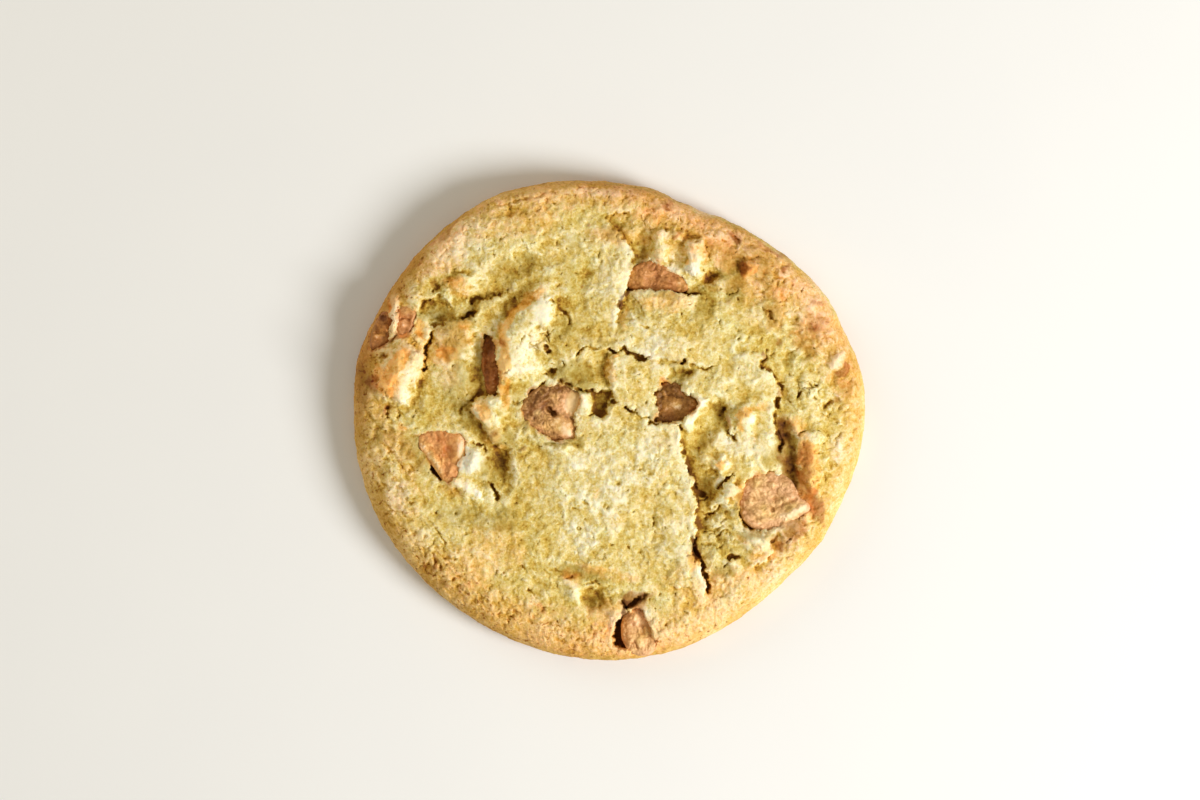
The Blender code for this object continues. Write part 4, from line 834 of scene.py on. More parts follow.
        (18, -10, 1.6, 1.2, 0.2), (17.6, -19, 1, 5, 5, 0.3), (-27, 6, 4.6, 6, 0.6), (-21.4, -9, 2.4, 5, 1),
        (-35.4, -5.4, 3.4, 4.4, 30, 0.7), (-22, -2.6, 5, 2.4, -25, 0.7), (-29.6, 17, 3.4, 2, 0.5),
        (-14.6, -0.6, 3, 2, -40, 0.6), (-16.6, 3.4, 2.4, 2.6, 30, 0.5), (-6.4, -4, 3, 1.4, 1),
        (28.8, -7, 2.2, 3, 0.6), (12, 10, 2.4, 2.4, 0.5), (8, 1.6, 1.4, 2.6, 0.6), (35.4, 16, 4, 6, 0.6),
        (25, 30, 6, 4, -30, 0.6), (10, 22.8, 6, 1.2, 0.8), (-25.6, 18.4, 2, 1.6, 0.7),
        (-34.4, 19, 1.4, 1.6, 0.6), (27, 9, 2, 2.6, 0.5), (29, 20, 2.4, 3.6, 20, 0.4),
        (15.4, -23.4, 1.8, 3, 0.8), (20.6, -27.2, 3.4, 2, 0.7), (24, -15, 2.4, 3.6, 0.9),
        (27.6, -20.8, 4.6, 1.8, -5, 0.6), (-26, 0.4, 2, 3, 20, 0.8), (29.4, 20, 3, 6, 0.5),
        (1, 34.6, 3.6, 3, 0.6), (-6.4, 32, 2.6, 3, 0.5), (-7.4, 26, 1.8, 4, 0.3), (-19, 24, 2, 1.6, 0.4),
        (-38, 8, 1.6, 2, 0.1), (-8.6, 16.4, 4, 3, 30, 0.6), (-11, 12.6, 4, 3, 0.3),
        (-1, 14, 3.6, 1.2, -5, 0.5), (31.4, -3, 2, 6, -8, 0.8), (22.4, 26, 3, 6.6, 10, 1),
        (37.6, -15, 1.4, 2.4, 0.5), (43.6, 6.4, 1.6, 2.8, 0.7), (5, -32.4, 4, 1.6, 15, 0.6),
        (-5, -27.8, 7, 2, -10, 0.7), (-25, -17.6, 8, 3, -10, 0.6), (-28, 14, 3, 6, 0.9),
        (17, 20, 2.6, 6, -15, 0.8), (-41, -2.4, 2.4, 3, 0.6), (4.4, 28.6, 1.6, 2.4, 0.6),
        (-18, -3, 2, 2.6, 0.6), (28, 26, 2.4, 4, 0.5), (10.4, 5.4, 1.6, 4, -20, 0.4), (18, 14, 2, 3, 0.4),
        (18.6, 31, 2.4, 2, 0.5), (2.4, -32, 2, 1.6, 0.5), (0, 17, 10, 5, 0.2), (-11, -15, 3, 10, 0.15),
        (4, -22, 10, 4, 0.15),
    ), (
        (((-23, 15.6), (-23.6, 11), (-23.8, 8), (-24.3, 5)), 1.2, 1.8, 0.7),
        (((21, 3.4), (19, 0.4), (17.2, -3.5), (16, -6)), 1.6, 1.6, 0.4),
        (((31, -1), (31.8, -5), (32.4, -9), (33.4, -13.8)), 2, 1.8, 1.1),
        (((1.6, 15.4), (1.9, 18), (2.6, 20.6)), 0.7, 1.1, 0.4),
        (((-24.4, 0.2), (-23.4, -1.6), (-22.6, -3.8)), 1.1, 0.7, 0.6),
        (((-14.8, -1.6), (-12, -4), (-9.5, -4.8), (-6.4, -4.6)), 0.6, 0.6, 0.6),
        (((-44, 2), (-42, -0.6), (-42.4, -6)), 1.4, 1, 0.3),
    )),
    # paler crumb, partly painted light on slopes facing the key light
    pale=((
        (-26.2, -7.2, 3, 3, 1.2), (14.8, 26.8, 1.1, 1.7, -20, 0.9), (26.2, 0.2, 1.3, 1.1, 0.7),
        (24.6, -4.6, 2.6, 2.6, 0.5), (9.8, 33, 1.1, 2.4, 0.5), (2, 26, 1.1, 3, 0.3),
        (-6.5, -8, 1.1, 0.8, 0.5), (2.8, -8, 1.1, 0.8, 0.5), (0.5, -12.6, 1.3, 0.9, 0.5),
        (-5, -14.4, 0.8, 1.3, 0.4), (-4, -20, 1.6, 1.4, 0.4), (-2, -22.6, 1.4, 1.1, 0.4),
        (0, -12, 13, 10, 0.5), (13, -15, 1.4, 6.5, 0.6), (12.6, 13.6, 4.6, 2.2, 0.35),
        (30.8, -29, 7, 2, 35, 0.3), (37.4, 0, 1.5, 1.3, 0.5), (-33.6, 25.6, 1.8, 0.9, 30, 0.3),
        (41, -5, 2, 4.6, 0.7), (-28.6, 7, 2, 3.4, 0.4), (-32, 7, 1.2, 1.6, 0.3),
        (-35.4, 24.2, 1, 1.4, -30, 0.3), (-31.2, 19.8, 2.6, 1.8, 0.6), (2.4, 9.6, 1.2, 2.6, 0.5),
        (20, -17.6, 2.8, 3.4, 0.4), (21.6, -6.4, 2.4, 3.6, 0.6), (27.6, 7, 2.4, 2, 0.3),
        (7.4, 15, 4.6, 3, 0.5), (4.6, 19.6, 1.8, 2, 0.3), (-29, 31, 8, 4, 45, 1), (-1, 25, 3, 3.4, 0.5),
        (7.4, -5.4, 4, 4.4, 0.6), (-23.8, 13.4, 1.5, 3.4, 0.9), (-12.6, 23.4, 4, 1.4, 35, 0.5),
        (-11, -8.4, 2.4, 3, 0.4), (8.4, -22, 3, 2, 0.5), (0, 41.6, 9, 1.4, 0.5), (24.4, 3, 2, 1.6, 0.3),
        (-5.6, -21, 4.4, 4.4, 1.1), (5.4, -9, 4, 4, 1), (8, 12.6, 2.8, 4, 1.2), (2, 18.4, 4.4, 2.4, 0.7),
        (-35.6, 2.8, 2.6, 2.4, 0.8), (6, -35, 1.6, 2, 0.6), (-15, -33, 3, 2, 0.5), (-20, 17.6, 2, 2.6, 0.9),
        (-10.4, 23.4, 4, 2, 30, 0.9), (19.6, -10.4, 2, 1.4, 20, 0.8), (-3, 41.4, 8, 1.2, 0.4),
        (17.4, 38, 3, 1.4, -30, 0.6), (10.4, -18, 3, 5.4, 0.3), (20.4, -4, 2, 2.4, 0.4),
        (11.6, 28.8, 1.8, 2.4, -20, 0.9), (-38.6, -14, 3, 4, 0.9), (16.4, 4, 3, 2, 0.2),
    ), (
        (((-17.2, -5), (-17.6, -8.6), (-17, -12)), 0.7, 0.7, 0.3),
        (((-10.6, 22), (-12.8, 18.8), (-14.6, 14), (-15.4, 9), (-14.8, 6)), 2.6, 2, 0.3),
        (((-39, 23.2), (-38.8, 19.8), (-38.9, 17)), 1, 0.9, 1),
        (((-29, -11.2), (-26.4, -11.6), (-23.6, -13.4), (-21, -14.6)), 0.8, 0.8, 0.8),
        (((13.2, -1.2), (15.2, 1.2), (17.6, 4.8)), 0.8, 1, 0.7),
        (((-5.6, -31.4), (-7, -29.6), (-9.4, -29.4)), 0.9, 0.9, 0.4),
        (((-0.4, -34), (0.1, -36), (0.2, -38)), 0.7, 0.7, 0.7),
        (((16, -27), (17, -29.6), (16.8, -32)), 0.8, 0.5, 0.5),
        (((-34.4, 12), (-36, 8), (-37.4, 4.6), (-38.2, 1.6)), 1.4, 1.5, 0.6),
    )),
    # whitest crumb, partly painted light on lit edges and flanks
    white=((
        (-4.6, 3.2, 0.9, 1.7, 20, 0.45), (-12, 19.6, 2, 3.4, -30, 0.4), (-14.6, 14, 2, 4, -15, 0.3),
        (-36.8, 6.4, 0.9, 2.6, -12, 0.15), (-26, -7, 1.6, 1.6, 0.2), (15, 26.8, 0.6, 1.2, -20, 0.5),
        (25.8, 0, 0.7, 0.6, 0.5), (-2.6, 14.6, 1.2, 0.7, 0.4), (-24, 24.4, 0.5, 0.4, 0.4),
        (-29.3, 23.8, 0.6, 0.4, 0.7), (41.3, 11, 3.6, 1.4, 48, 0.5), (-7.6, 20, 0.6, 0.6, 0.1),
    ), ()),
    # painted shade: near-black spots and strokes in the deep gaps beside chips, in holes and cracks
    dark=((
        (-1.8, 1, 1.3, 0.4, 0.7), (-25.2, 19.2, 1.2, 0.8, 40, 0.6), (22.2, -24.7, 1.2, 0.6, 10, 0.4),
        (-31.4, -9.2, 1.8, 0.7, -50, 1.2), (26, -18.8, 1.8, 0.7, -35, 1), (10.6, 8, 0.4, 0.4, 0.7),
        (2.4, -38.6, 1.5, 3.4, 5, 1.2), (-21.8, 15, 0.6, 0.7, 0.6),
    ), (
        (((3.7, 26.6), (3.9, 25), (3.6, 24), (2.8, 22.9), (2, 21.6), (1.2, 20)), 0.6, 0.6, 0.9),
        (((14.9, -21.2), (15.3, -23), (16.4, -25.2)), 0.8, 0.8, 0.8),
        (((1.8, -32.2), (3, -33.5), (4.4, -32.9), (7.4, -31.2)), 0.7, 0.7, 0.9),
        (((2.8, -33.6), (2.8, -35.4), (2.2, -36.2)), 0.7, 0.7, 1),
        (((8.9, 1.6), (8.8, 3.4), (9, 5.2), (10, 6.6)), 0.5, 0.5, 0.6),
    )),
)

# the browning of the rim by direction: degrees, rose and gold of its skin and how far in they reach,
# width and strength of the painted shade along its edge, strongest on the side away from the key light
rimBrowning = ((0, 0.6, 0.35, 8, 0.6, 0.1), (25, 0.8, 0.3, 13, 1.0, 0.2), (45, 0.8, 0.2, 12, 1.2, 0.3),
               (62, 0.8, 0.4, 12, 1.2, 0.3), (85, 0.7, 0.6, 9, 1.4, 0.4), (105, 0.4, 0.7, 9, 1.2, 0.45),
               (122, 0.4, 0.5, 8, 1.1, 0.5), (145, 0.1, 0.7, 7, 3, 0.6), (165, 0.0, 1.0, 10, 4.4, 0.8),
               (182, 0.0, 0.7, 13, 3.4, 0.45), (205, 0.0, 0.8, 9, 2, 0.15), (235, 0.2, 0.9, 12, 1.2, 0.1),
               (262, 0.5, 0.8, 13, 0.8, 0.1), (295, 0.45, 0.6, 12, 0.6, 0.0), (335, 0.5, 0.35, 10, 0.6, 0.0),
               (360, 0.6, 0.35, 8, 0.6, 0.1))


def tintDough(cookie):
    x, y, z = placesOf(cookie).T
    wx, wy = wandered(x, y, ((2.2, 0.8, 81, 82), (0.9, 0.35, 83, 84)), z)
    broken = np.clip(1.15 + 0.7 * uneven(x, y, 1.6, 85, z) + 0.5 * uneven(x, y, 0.8, 86, z), 0.4, 1.6)
    # the edges of the openings are browner here and there
    ring = np.zeros_like(x)
    for opening in openings.values():
        near, inside = insideLoop(wx, wy, opening["loop"])
        patches = np.clip(0.6 + 1.6 * uneven(wx[near], wy[near], 3, 87), 0, 1)
        ring[near] = np.maximum(ring[near], bell(inside / 1.2) * patches)
    for name, (spots, strokes) in tints.items():
        amount = spread(wx, wy, spots, strokes, plateau) + (0.5 * ring if name in ("orange", "brown") else 0)
        writeAttribute(cookie, name, np.clip(amount * broken, 0, 1.3))
    rose, gold, reach, wide, strength = byDirection(bearings(x, y), rimBrowning)
    inward = outlineRadius(np.arctan2(wy, wx)) - np.hypot(wx, wy)
    skin = eased(1.1 - inward / reach) + eased((5 - z) / 4) * eased(1 - inward / 3)
    writeAttribute(cookie, "rimRose", skin * rose * eased((inward + 0.6) / 2))
    writeAttribute(cookie, "rimGold", skin * gold)
    # painted shade along the rim's edge, strongest on the side away from the key light
    writeAttribute(cookie, "rimDark", eased(1.25 - inward / wide) * strength)


doughFinish = dict(
    # the crumb from its creases to its tops; painted shade in recesses takes it towards the dark end
    crumb=((0.0, rgb(138, 90, 14)), (0.2, rgb(186, 144, 44)), (0.4, rgb(213, 182, 86)),
           (0.6, rgb(232, 211, 138)), (0.82, rgb(251, 239, 192)), (1.0, rgb(255, 247, 212))),
    crumbMiddle=rgb(225, 195, 110),
    # what the crumb's colour is multiplied by: pale spots, partly painted light, toasted and cooler patches,
    # dots of the rim, painted shade in the crazed cells
    paler=(1.0, 1.01, 1.13, 1), toastier=(1.02, 0.9, 0.76, 1), cooler=(0.93, 0.98, 0.94, 1),
    dotted=(0.55, 0.34, 0.16, 1), crazed=(0.5, 0.4, 0.24, 1),
    # painted shade: crack darkens cracks and fine recesses, dark fills deep gaps and holes, hollow shades
    # wide hollows
    crack=rgb(120, 76, 22), dark=rgb(104, 60, 14), hollowShade=rgb(172, 138, 44),
    # stains: attribute, colour, strength, how broken up by noise; the olive stain and the rim's dark edge are
    # painted shade, the others browning
    stains=(("rimRose", rgb(230, 172, 92), 1.0, 0.2), ("rimGold", rgb(224, 172, 80), 1.0, 0.2),
            ("toasted", rgb(234, 182, 92), 0.9, 0.25), ("orange", rgb(239, 168, 62), 0.85, 0.25),
            ("olive", rgb(172, 138, 44), 0.8, 0.15), ("brown", rgb(172, 114, 42), 0.85, 0.25),
            ("rimDark", rgb(184, 132, 46), 0.9, 0.15)),
    roughness=0.745, roughSpan=0.25, specular=0.25, bump=0.45, bumpDepth=0.0005,
    glow=0.15, glowReach=(1.0, 0.55, 0.2), glowScale=0.001,      # light that wanders under the skin
)


# a stain is multiplied in, so that it lets the light and dark of the crumb through
def stainOf(shade):
    return tuple(a / b for a, b in zip(shade, doughFinish["crumbMiddle"]))


def doughMaterial():
    look = doughFinish
    material, body, wire = shader("baked_dough", look["roughness"], look["specular"])
    body.inputs["Subsurface Weight"].default_value = look["glow"]
    body.inputs["Subsurface Radius"].default_value = look["glowReach"]
    body.inputs["Subsurface Scale"].default_value = look["glowScale"]
    # how sunken each point is: below, recesses get painted shade from it and raised crumbs a little painted
    # light
    fine = wire.sum("MAXIMUM", wire.attribute("sunkenFine"), -0.22)
    wide = wire.attribute("sunkenWide")
    pale = wire.attribute("pale")
    white = wire.attribute("white")
    # noise from the single grain to slow patches
    sand = wire.grain(0.42, 2, 0.6)
    speck = wire.grain(1.1, 3, 0.6, 0.31)
    mottle = wire.grain(3.2, 3, 0.6, 0.17)
    slow = wire.grain(9, 2, 0.5, 0.13)
    tone = (sand - 0.5) * 0.65 + (speck - 0.5) * 0.7 + (mottle - 0.5) * 0.6 + (slow - 0.5) * 0.75
    # painted shade darkens recesses, fine and wide; the pale and white patches lighten it, in places as
    # painted light
    tone = 0.53 + tone - fine * 0.7 + pale * 0.22 + white * 0.35 - wide * 0.1
    color = wire.node("ValToRGB", {"stops": look["crumb"]}, {"Fac": tone})
    # pale spots, partly painted light
    color = ((pale * 1.2).within(0.0, 1.0) * 0.8).stained(color, look["paler"])
    patch = (speck - 0.5) * 0.9 + (mottle - 0.5) * 0.9
    toast = wire.grain(5.5, 4, 0.65, 0.41)
    color = ((toast + patch * 0.15).within(0.5, 0.72) * 0.5).stained(color, look["toastier"])
    color = ((1 - toast + patch * 0.15).within(0.5, 0.72) * 0.6).stained(color, look["cooler"])
    for attribute, shade, most, broken in look["stains"]:
        share = (wire.attribute(attribute) * 1.25 + patch * broken * 3 - 0.08).within(0.0, 1.1) * most
        color = share.stained(color, stainOf(shade))
    # painted shade in wide hollows
    color = ((wide * 0.6 - 0.2).within(0.0, 1.0) * 0.65).stained(color, stainOf(look["hollowShade"]))
    dots = (0.43 - wire.grain(0.8, 2, 0.5, 0.53)) * 9 * wire.attribute("rimGold")
    color = dots.within(0.0, 1.0).stained(color, look["dotted"])
    # painted shade along the crazing grooves
    color = (wire.attribute("crazing") * 1.2).within(0.1, 1.0).stained(color, look["crazed"])
    # painted shade in cracks and fine recesses
    color = ((fine * 0.9 - 0.3).within(0.0, 1.0) * 0.8).mixed(color, look["crack"])
    # painted shade in deep gaps, holes and cracks
    color = ((wire.attribute("dark") + patch * 0.5).within(0.1, 1.0) * 0.9).mixed(color, look["dark"])
    color.feed(body.inputs["Base Color"])
    ((speck - 0.5) * look["roughSpan"] + look["roughness"]).feed(body.inputs["Roughness"])
    bump = wire.node("Bump", {}, {"Height": sand * 0.7 + speck * 0.3, "Strength": look["bump"],
                                  "Distance": look["bumpDepth"]}, "Normal")
    bump.feed(body.inputs["Normal"])
    return material


cookie = makeDough()
tintDough(cookie)
cookie.data.materials.append(doughMaterial())
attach(cookie, "root")
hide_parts("cookie_dough")
print("dough: finished")


# the baking chips: colours, thickness, tilt in x and y, base tone; swells, a crack and pits as in the tables
# above; grooves as direction, size, height and the ellipse they lie in; calm ground; golden spots; shade as
# spots and streaks, darker above zero and lighter below: painted shade and painted light mixed with the
# chip's own darker and lighter patches
chips = dict(
    chip_upper=dict(
        light=rgb(228, 166, 94), dark=rgb(152, 92, 34), thick=4.2, tilt=(0.06, 0.1), base=0.5,
        swells=((6.2, 26.4, 2.2, 1.6, 20, 0.35), (10.6, 25.2, 2.2, 1.5, -20, 0.4),
                (8.6, 26, 0.9, 0.9, -0.3)),
        crack=(((8, 28), (8.6, 26.8), (9.4, 25.6), (9, 24.4)), 0.4, 0.15),
        shade=((10.4, 25, 1.8, 0.9, -20, 0.7), (5, 24.6, 1.6, 0.9, 0.5), (8.6, 26.2, 0.7, 0.7, 0.5),
               (6.4, 26.8, 1.7, 1, 20, -0.3), (12.8, 24.8, 1.1, 0.7, -30, -0.5), (8, 24.2, 4, 0.5, 0.5))),
    chip_rim_outer=dict(
        light=rgb(214, 146, 76), dark=rgb(124, 70, 20), thick=3.2, tilt=(0, 0.1), base=0.5,
        swells=((-40.8, 17, 0.7, 1.3, 20, 0.3), (-42.2, 15.2, 1.1, 0.7, 0.3),
                (-41.3, 18.7, 1.2, 0.8, -0.4)),
        calm=((-41.4, 16.3, 3, 4.5, 1.2),),
        crack=(((-42.9, 16), (-42, 15.9), (-41, 16), (-40.4, 15.4)), 0.4, 0.3),
        shade=((-41.2, 18.7, 1.2, 0.8, 1.1), (-42.2, 16.4, 0.7, 0.8, 0.8), (-40.7, 17, 0.7, 1.2, 20, -0.3),
               (-42.2, 15.2, 0.9, 0.6, -0.3), (-41.4, 14.4, 0.8, 0.5, -0.4), (-40.6, 15.6, 0.5, 0.7, 0.3))),
    chip_rim_inner=dict(
        light=rgb(238, 180, 112), dark=rgb(166, 104, 42), thick=3.4, tilt=(0.05, 0), base=0.5,
        swells=((-37.1, 19.4, 1.1, 0.8, 0.3), (-37.4, 17.5, 0.7, 1, 0.3)),
        calm=((-37, 18, 3, 4, 1.2),),
        crack=(((-38.2, 18.5), (-37.2, 18.6), (-36, 18.2)), 0.35, 0.4),
        shade=((-37.2, 19.6, 1.1, 0.7, -0.5), (-37.5, 17.6, 0.7, 1, -0.6), (-36.1, 18.6, 0.7, 1.6, -10, 0.9),
               (-36.8, 16.4, 0.9, 0.6, -30, 0.9))),
    chip_under_ridge=dict(
        light=rgb(204, 134, 66), dark=rgb(150, 88, 34), thick=3.8, tilt=(0, 0), base=0.45,
        swells=((-21.6, 13, 1.4, 2.4, -0.7), (-21.2, 7.6, 0.9, 2.2, 0.4), (-22.4, 9.6, 0.5, 3, -0.4)),
        crack=(((-22.6, 11.4), (-22, 10), (-21.9, 8)), 0.3, 0.3),
        shade=((-22, 13.4, 1.4, 2.6, 0.6), (-20.9, 8, 0.8, 3, -0.6), (-22.4, 8, 0.5, 3, 0.6))),
    chip_left_middle=dict(
        light=rgb(240, 184, 116), dark=rgb(124, 76, 22), thick=5, tilt=(-0.03, 0.02), base=0.42,
        swells=((-8.4, -1.3, 3.8, 2.6, -40, 0.8), (-12.6, 3.4, 3, 1.2, 38, 0.5),
                (-12.4, -0.2, 2, 1.2, -30, 0.3), (-10.3, 1.5, 1.5, 1, -38, -0.6)),
        crack=(((-7.4, 0.9), (-6.6, 0), (-6.2, -1.2), (-5.9, -2.8)), 0.6, 0.4),
        grooves=(38, 0.8, 0.3, (-12.2, 3.4, 4, 2.6, 30)),
        pits=((-11, 2.1, 0.7, 0.5, -38, 0.9), (-10.1, 1.2, 0.65, 0.5, -38, 0.9)),
        calm=((-8.2, -1.4, 3.4, 2.8, -30, 1.6), (-6.6, 3.4, 2.4, 3, 1)),
        golden=((-6, 3, 3, 3.4, 1.6), (-13, 1.4, 1.6, 1.2, 30, 0.6)),
        shade=((-12.4, 3.8, 4, 2.4, 35, 0.6), (-14.4, 1.6, 1.4, 1.6, 0.3), (-8, 2.8, 2.8, 2.4, -0.8),
               (-6.2, 2.8, 3.2, 2.6, -1.5), (-8.6, 5.6, 2.6, 1, 0.6), (-8.4, -1.3, 3.8, 2.4, -40, -1.2),
               (-7.6, -2, 2, 1.6, -40, -0.6), (-12, -0.8, 2, 1.6, -30, -0.2),
               (-10.6, 1.7, 1.1, 0.7, -38, 1.6), (-5.9, -2.8, 0.6, 0.8, 0.6),
               (-10, 5.6, 2.6, 0.7, 10, 0.4))),
    chip_middle=dict(
        light=rgb(204, 148, 78), dark=rgb(108, 66, 20), thick=4.2, tilt=(0.03, 0.02), base=0.5,
        swells=((11.4, 2.6, 2.2, 2, 0.6), (11.6, 6, 1.4, 1.2, 0.3), (14.8, 3.4, 1.2, 1, 0.3),
                (9.4, 4.6, 0.8, 1, -0.4)),
        crack=(((9.6, 4.4), (11, 4.7), (12.4, 4.4), (13.6, 4)), 0.5, 0.3),
        calm=((12.4, 2.4, 3.4, 2.6, 0.9),),
        shade=((12, 2.2, 3, 2, -0.7), (11, 5.8, 2.2, 1.8, 0.9), (9.2, 4, 1, 2.4, 0.8),
               (10.4, -0.2, 2, 0.7, 0.5), (15.2, 3.2, 1, 0.8, -0.3))),
    chip_left_low=dict(
        light=rgb(246, 188, 112), dark=rgb(192, 120, 52), thick=4.6, tilt=(0.02, -0.02), base=0.5,
        swells=((-33.4, -4.4, 1.4, 2, -50, 0.4), (-31, -7.8, 0.9, 2.6, 35, 0.4), (-27.4, -5, 1.2, 2.2, 0.5),
                (-29.4, -5.2, 1.1, 2.4, 10, -0.6), (-28.9, -9, 1.2, 1.4, 0.4)),
        crack=(((-32.6, -4.6), (-31.8, -5.4), (-31, -6.4), (-30.4, -8)), 0.35, 0.25),
        calm=((-28, -5, 2.4, 4, 0.9),),
        shade=((-30, -5.4, 1, 2.4, 10, 0.6), (-30.6, -3.5, 1.6, 0.8, 0.5), (-27, -5, 1.4, 3.4, -1.4),
               (-28.6, -8.8, 1, 1.4, -0.2), (-32.2, -5, 0.8, 0.6, -40, 0.5)),
        streaks=((((-34.4, -3.2), (-33.8, -5), (-32, -7.2), (-30, -10.2)), 1.1, 1.1, -0.9),)),
    chip_right=dict(
        light=rgb(252, 206, 144), dark=rgb(188, 138, 78), thick=3.8, tilt=(0.03, -0.02), base=0.52,
        swells=((26.4, -12.4, 1.5, 1.2, 30, 0.6), (29.5, -11.7, 1, 0.9, 0.6), (31.8, -12.8, 1.4, 1.4, 0.3),
                (30.2, -14.3, 1.3, 1, -0.5), (26.8, -16.8, 2.2, 1.2, -20, 0.7), (25.4, -14.4, 1, 1, 0.4),
                (33.4, -16.4, 2.8, 1, 28, 0.8), (28.6, -18, 2, 0.8, 0.4)),
        crack=(((34.2, -13.9), (33, -14.7), (31.4, -15.2), (29.8, -16)), 0.8, 0.35),
        pits=((29.5, -16.2, 0.5, 0.4, 0.4),),
        shade=((25.6, -10.8, 2, 0.8, 35, 0.6), (31.8, -10.9, 2.2, 0.8, -35, 0.6),
               (27.4, -12.8, 1.8, 1.4, -0.2), (29.5, -11.7, 0.8, 0.7, -0.8), (30.2, -14.2, 1.2, 0.9, 0.7),
               (29.6, -16.1, 0.7, 0.6, 0.9), (24.9, -16.2, 0.9, 1.8, 30, 0.7), (27.8, -18.4, 2, 0.6, -0.5),
               (33.2, -12.4, 0.7, 1.4, 20, 0.4)),
        streaks=((((30.6, -17.8), (33, -16.9), (36.2, -15.2)), 1.3, 1.2, -1.6),
                 (((34, -14), (31.8, -15.2), (29.6, -16.3)), 0.6, 0.5, 0.7))),
    chip_bottom=dict(
        light=rgb(255, 206, 142), dark=rgb(190, 132, 72), thick=4, tilt=(0.02, 0), base=0.5,
        swells=((4.8, -36, 1.2, 1.6, 0.35), (5.8, -40, 1.6, 1.6, 0.4), (5.9, -37.8, 0.7, 1.6, 20, -0.4),
                (3.8, -39.4, 0.9, 1.4, 0.3)),
        crack=(((3.6, -40.6), (4.6, -40.2), (5.2, -41.6)), 0.35, 0.4),
        shade=((3.4, -38, 0.8, 3, 0.4), (5.8, -37.4, 0.8, 2, 20, 0.4), (5, -36, 1.6, 1.6, -0.6),
               (5.8, -40.4, 1.6, 1.2, -0.5), (4.5, -41, 0.8, 0.7, 0.4), (7.2, -38.8, 0.6, 2, 15, 0.5))),
)

# what all chips share; lengths in mm
chipForm = dict(
    steps=120,                   # squares across a chip's sheet
    spare=0.5,                   # how far a chip reaches under the dough round its opening
    rise=0.25, shoulder=1.3, drop=0.75, fullness=0.5,
    side=((0.7, 1.02), (1.0, 0.98), (0.8, 0.9), (0.5, 0.74)),
    wander=(0.8, 0.2), skin=((2.4, 0.25), (0.8, 0.1)), lumps=((1.3, 0.4), (0.65, 0.22)),
)
chipFinish = dict(
    # crease is painted shade in the chips' creases, glint a painted highlight on the lightest tones
    glint=rgb(255, 222, 176), golden=rgb(253, 222, 146), creaseShade=rgb(124, 70, 30),
    rosier=(1.0, 0.94, 1.06, 1), yellower=(1.0, 1.07, 0.9, 1),
    roughness=0.545, roughSpan=0.25, specular=0.3, bump=0.35, bumpDepth=0.0004,
)


# the radius of a closed loop round its middle, smoothed, as a function of the angle
def roundLoop(loop, middle):
    angles, radii = [], []
    for (ax, ay), (bx, by) in zip(loop, loop[1:] + loop[:1]):
        for step in np.linspace(0, 1, 12, endpoint=False):
            px, py = ax + (bx - ax) * step - middle[0], ay + (by - ay) * step - middle[1]
            angles.append(math.atan2(py, px))
            radii.append(math.hypot(px, py))
    turns = np.linspace(-math.pi, math.pi, 180, endpoint=False)
    around = np.interp(turns, *zip(*sorted(zip(angles, radii))), period=2 * math.pi)
    around = sum(np.roll(around, shift) for shift in range(-3, 4)) / 7
    return lambda angle: np.interp(angle, turns, around, period=2 * math.pi)


def makeChip(name, chip, layer):
    opening = openings[name]
    middle, level = opening["middle"], opening["level"]
    reach = roundLoop(opening["loop"], middle)
    shoulder = min(chipForm["shoulder"], 0.5 * reach(np.linspace(-3, 3, 60)).min() + chipForm["spare"] / 2)
    lens, x, y, inward = addSheet(name + "_melted", chipForm["steps"], middle,
                                  lambda angle: reach(angle) + chipForm["spare"], shoulder)
    wx, wy = wandered(x, y, [(*chipForm["wander"], layer + 200, layer + 220)])
    z = level + chipForm["rise"] + chip["tilt"][0] * (x - middle[0]) + chip["tilt"][1] * (y - middle[1])
    z += spread(wx, wy, chip["swells"])
    path, width, depth = chip["crack"]
    near, away, side, place = fromPath(wx, wy, path, 2 * width)
    z[near] -= depth * np.clip(1 - away / width, 0, 1) * tapered(place)
    for *ellipse, deep in chip.get("pits", ()):
        z -= deep * dent(wx, wy, *ellipse)
    if "grooves" in chip:
        turn, size, amount, patch = chip["grooves"]
        cos, sin = math.cos(math.radians(turn)), math.sin(math.radians(turn))
        across, along = y * cos - x * sin, x * cos + y * sin
        z += amount * uneven(across, along / 6, size, layer + 250) * bell(inEllipse(x, y, *patch))
    calm = 1 - np.clip(spread(x, y, chip.get("calm", ())), 0, 0.9)
    for size, amount in chipForm["skin"]:
        z += amount * uneven(x, y, size, layer + 240)
    for size, amount in chipForm["lumps"]:
        z += amount * calm * lumps(wx, wy, size, layer + 260)
    curl = np.clip(1 - inward / shoulder, 0, 1)
    z -= chipForm["drop"] * (1 - (1 - curl**2) ** chipForm["fullness"])
    movePlaces(lens, np.stack([x, y, z], axis=1))
    closeBelow(lens, middle, chipForm["side"], level - chip["thick"])
    writeAttribute(lens, "shade", spread(wx, wy, chip["shade"], chip.get("streaks", ())))
    writeAttribute(lens, "golden", spread(wx, wy, chip.get("golden", ())))
    # how sunken each point is, which the colour uses for painted shade in the chip's creases
    grid = z.reshape(chipForm["steps"] + 1, -1)
    writeAttribute(lens, "sunken", ((blurred(grid, 2) - grid) * (inward.reshape(grid.shape) > 0.5)).ravel())
    lens.data.shade_smooth()
    return lens


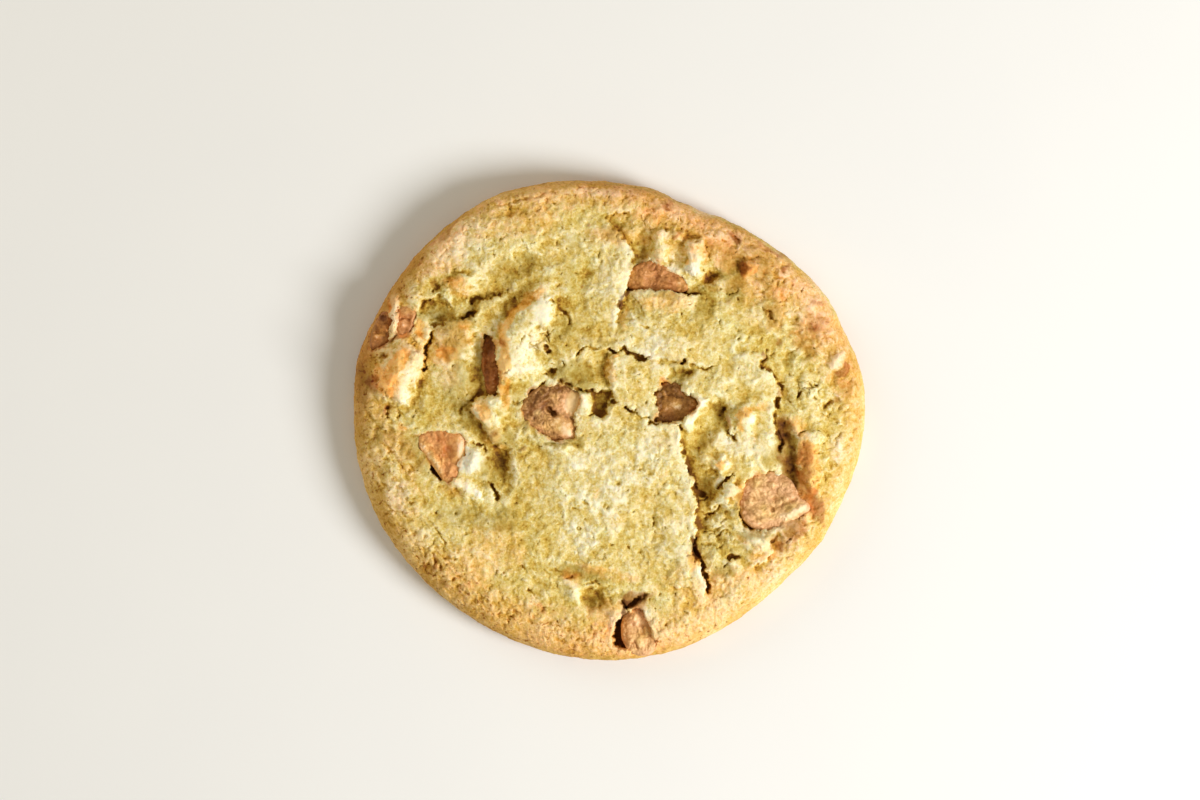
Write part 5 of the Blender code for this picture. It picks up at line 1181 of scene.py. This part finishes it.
def chipMaterial(name, chip):
    look = chipFinish
    material, body, wire = shader(name + "_finish", look["roughness"], look["specular"])
    mottle = wire.grain(1.8, 4, 0.6)
    speck = wire.grain(0.5, 3, 0.6, 0.4)
    sunken = wire.attribute("sunken")
    # sunken creases darken as painted shade
    tone = (mottle - 0.5) * 1.4 + (speck - 0.5) * 1.1 - sunken * 1.6 + chip["base"]
    # painted shade and painted light, mixed with the chip's own darker and lighter patches
    tone = tone - wire.attribute("shade") * 0.6
    color = tone.within(-0.1, 1.1).mixed(chip["dark"], chip["light"])
    color = ((tone - 0.75).within(0.0, 0.6) * 0.9).mixed(color, look["glint"])
    # painted shade in the creases
    color = ((sunken * 2.2 - 0.2).within(0.0, 1.0) * 0.5).mixed(color, look["creaseShade"])
    golden = (wire.attribute("golden") + (mottle - 0.5) * 0.5).within(0.1, 1.1) * 0.8
    color = golden.mixed(color, look["golden"])
    blush = wire.grain(3.4, 2, 0.5, 0.7)
    color = ((blush - 0.46) * 7).within(0.0, 1.0).stained(color, look["rosier"])
    color = ((0.44 - blush) * 7).within(0.0, 1.0).stained(color, look["yellower"])
    color.feed(body.inputs["Base Color"])
    ((speck - 0.5) * look["roughSpan"] + look["roughness"]).feed(body.inputs["Roughness"])
    bump = wire.node("Bump", {}, {"Height": speck * 0.6 + mottle * 0.4, "Strength": look["bump"],
                                  "Distance": look["bumpDepth"]}, "Normal")
    bump.feed(body.inputs["Normal"])
    return material


for layer, (name, chip) in enumerate(chips.items()):
    lens = makeChip(name, chip, layer)
    lens.data.materials.append(chipMaterial(name, chip))
    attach(lens, "root")
    "chip_dark" if name in ("chip_under_ridge", "chip_middle") else "chip_light"
    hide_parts(name)
print("chips: finished")


studio = dict(
    # where the cookie lies in the picture
    pixelsPerMm=5.48, middle=(609.5, 420.5), frameSize=(1200, 800),
    lens=100, sensor=36, cameraLevel=5,
    lights=dict(
        key=dict(turn=-24, rise=36, away=0.8, size=0.36, power=6.9, color=(1, 1, 1)),
        fill=dict(turn=142, rise=28, away=0.9, size=0.7, power=2.2, color=(1, 0.92, 0.76)),
    ),
    world=0.32, worldColor=(1, 0.93, 0.78, 1),
    floorSize=6, floor=rgb(243, 243, 241), floorSpeck=rgb(240, 240, 239),
)


def addFloor():
    bpy.ops.mesh.primitive_plane_add(size=studio["floorSize"], location=(0, 0, 0))
    floor = bpy.context.object
    floor.name = "floor"
    material, body, wire = shader("floor_paper", 0.9, 0.1)
    color = wire.grain(30, 2).mixed(studio["floor"], studio["floorSpeck"])
    color.feed(body.inputs["Base Color"])
    floor.data.materials.append(material)


def addSoftLight(name, turn, rise, away, size, power, color):
    lamp = bpy.data.lights.new(name, "AREA")
    lamp.shape = "DISK"
    lamp.size = size
    lamp.energy = power
    lamp.color = color
    holder = bpy.data.objects.new(name, lamp)
    bpy.context.scene.collection.objects.link(holder)
    turn, rise = math.radians(turn), math.radians(rise)
    place = Vector((math.cos(rise) * math.cos(turn), math.cos(rise) * math.sin(turn), math.sin(rise))) * away
    holder.location = place
    holder.rotation_euler = (-place).to_track_quat("-Z", "Y").to_euler()


def addCamera():
    lens = bpy.data.cameras.new("camera")
    lens.lens = studio["lens"]
    lens.sensor_width = studio["sensor"]
    lens.clip_start, lens.clip_end = 0.01, 10
    camera = bpy.data.objects.new("camera", lens)
    bpy.context.scene.collection.objects.link(camera)
    perMm, (middleX, middleY), (wide, high) = studio["pixelsPerMm"], studio["middle"], studio["frameSize"]
    away = wide / perMm * studio["lens"] / studio["sensor"] + studio["cameraLevel"]
    camera.location = Vector(((wide / 2 - middleX) / perMm, (middleY - high / 2) / perMm, away)) * mm
    bpy.context.scene.camera = camera


addFloor()
for name, light in studio["lights"].items():
    addSoftLight(name, **light)
world = bpy.data.worlds.new("studio")
bpy.context.scene.world = world
world.use_nodes = True
world.node_tree.nodes["Background"].inputs["Strength"].default_value = studio["world"]
world.node_tree.nodes["Background"].inputs["Color"].default_value = studio["worldColor"]
bpy.context.scene.view_settings.view_transform = "Standard"
addCamera()
print("studio: ready")
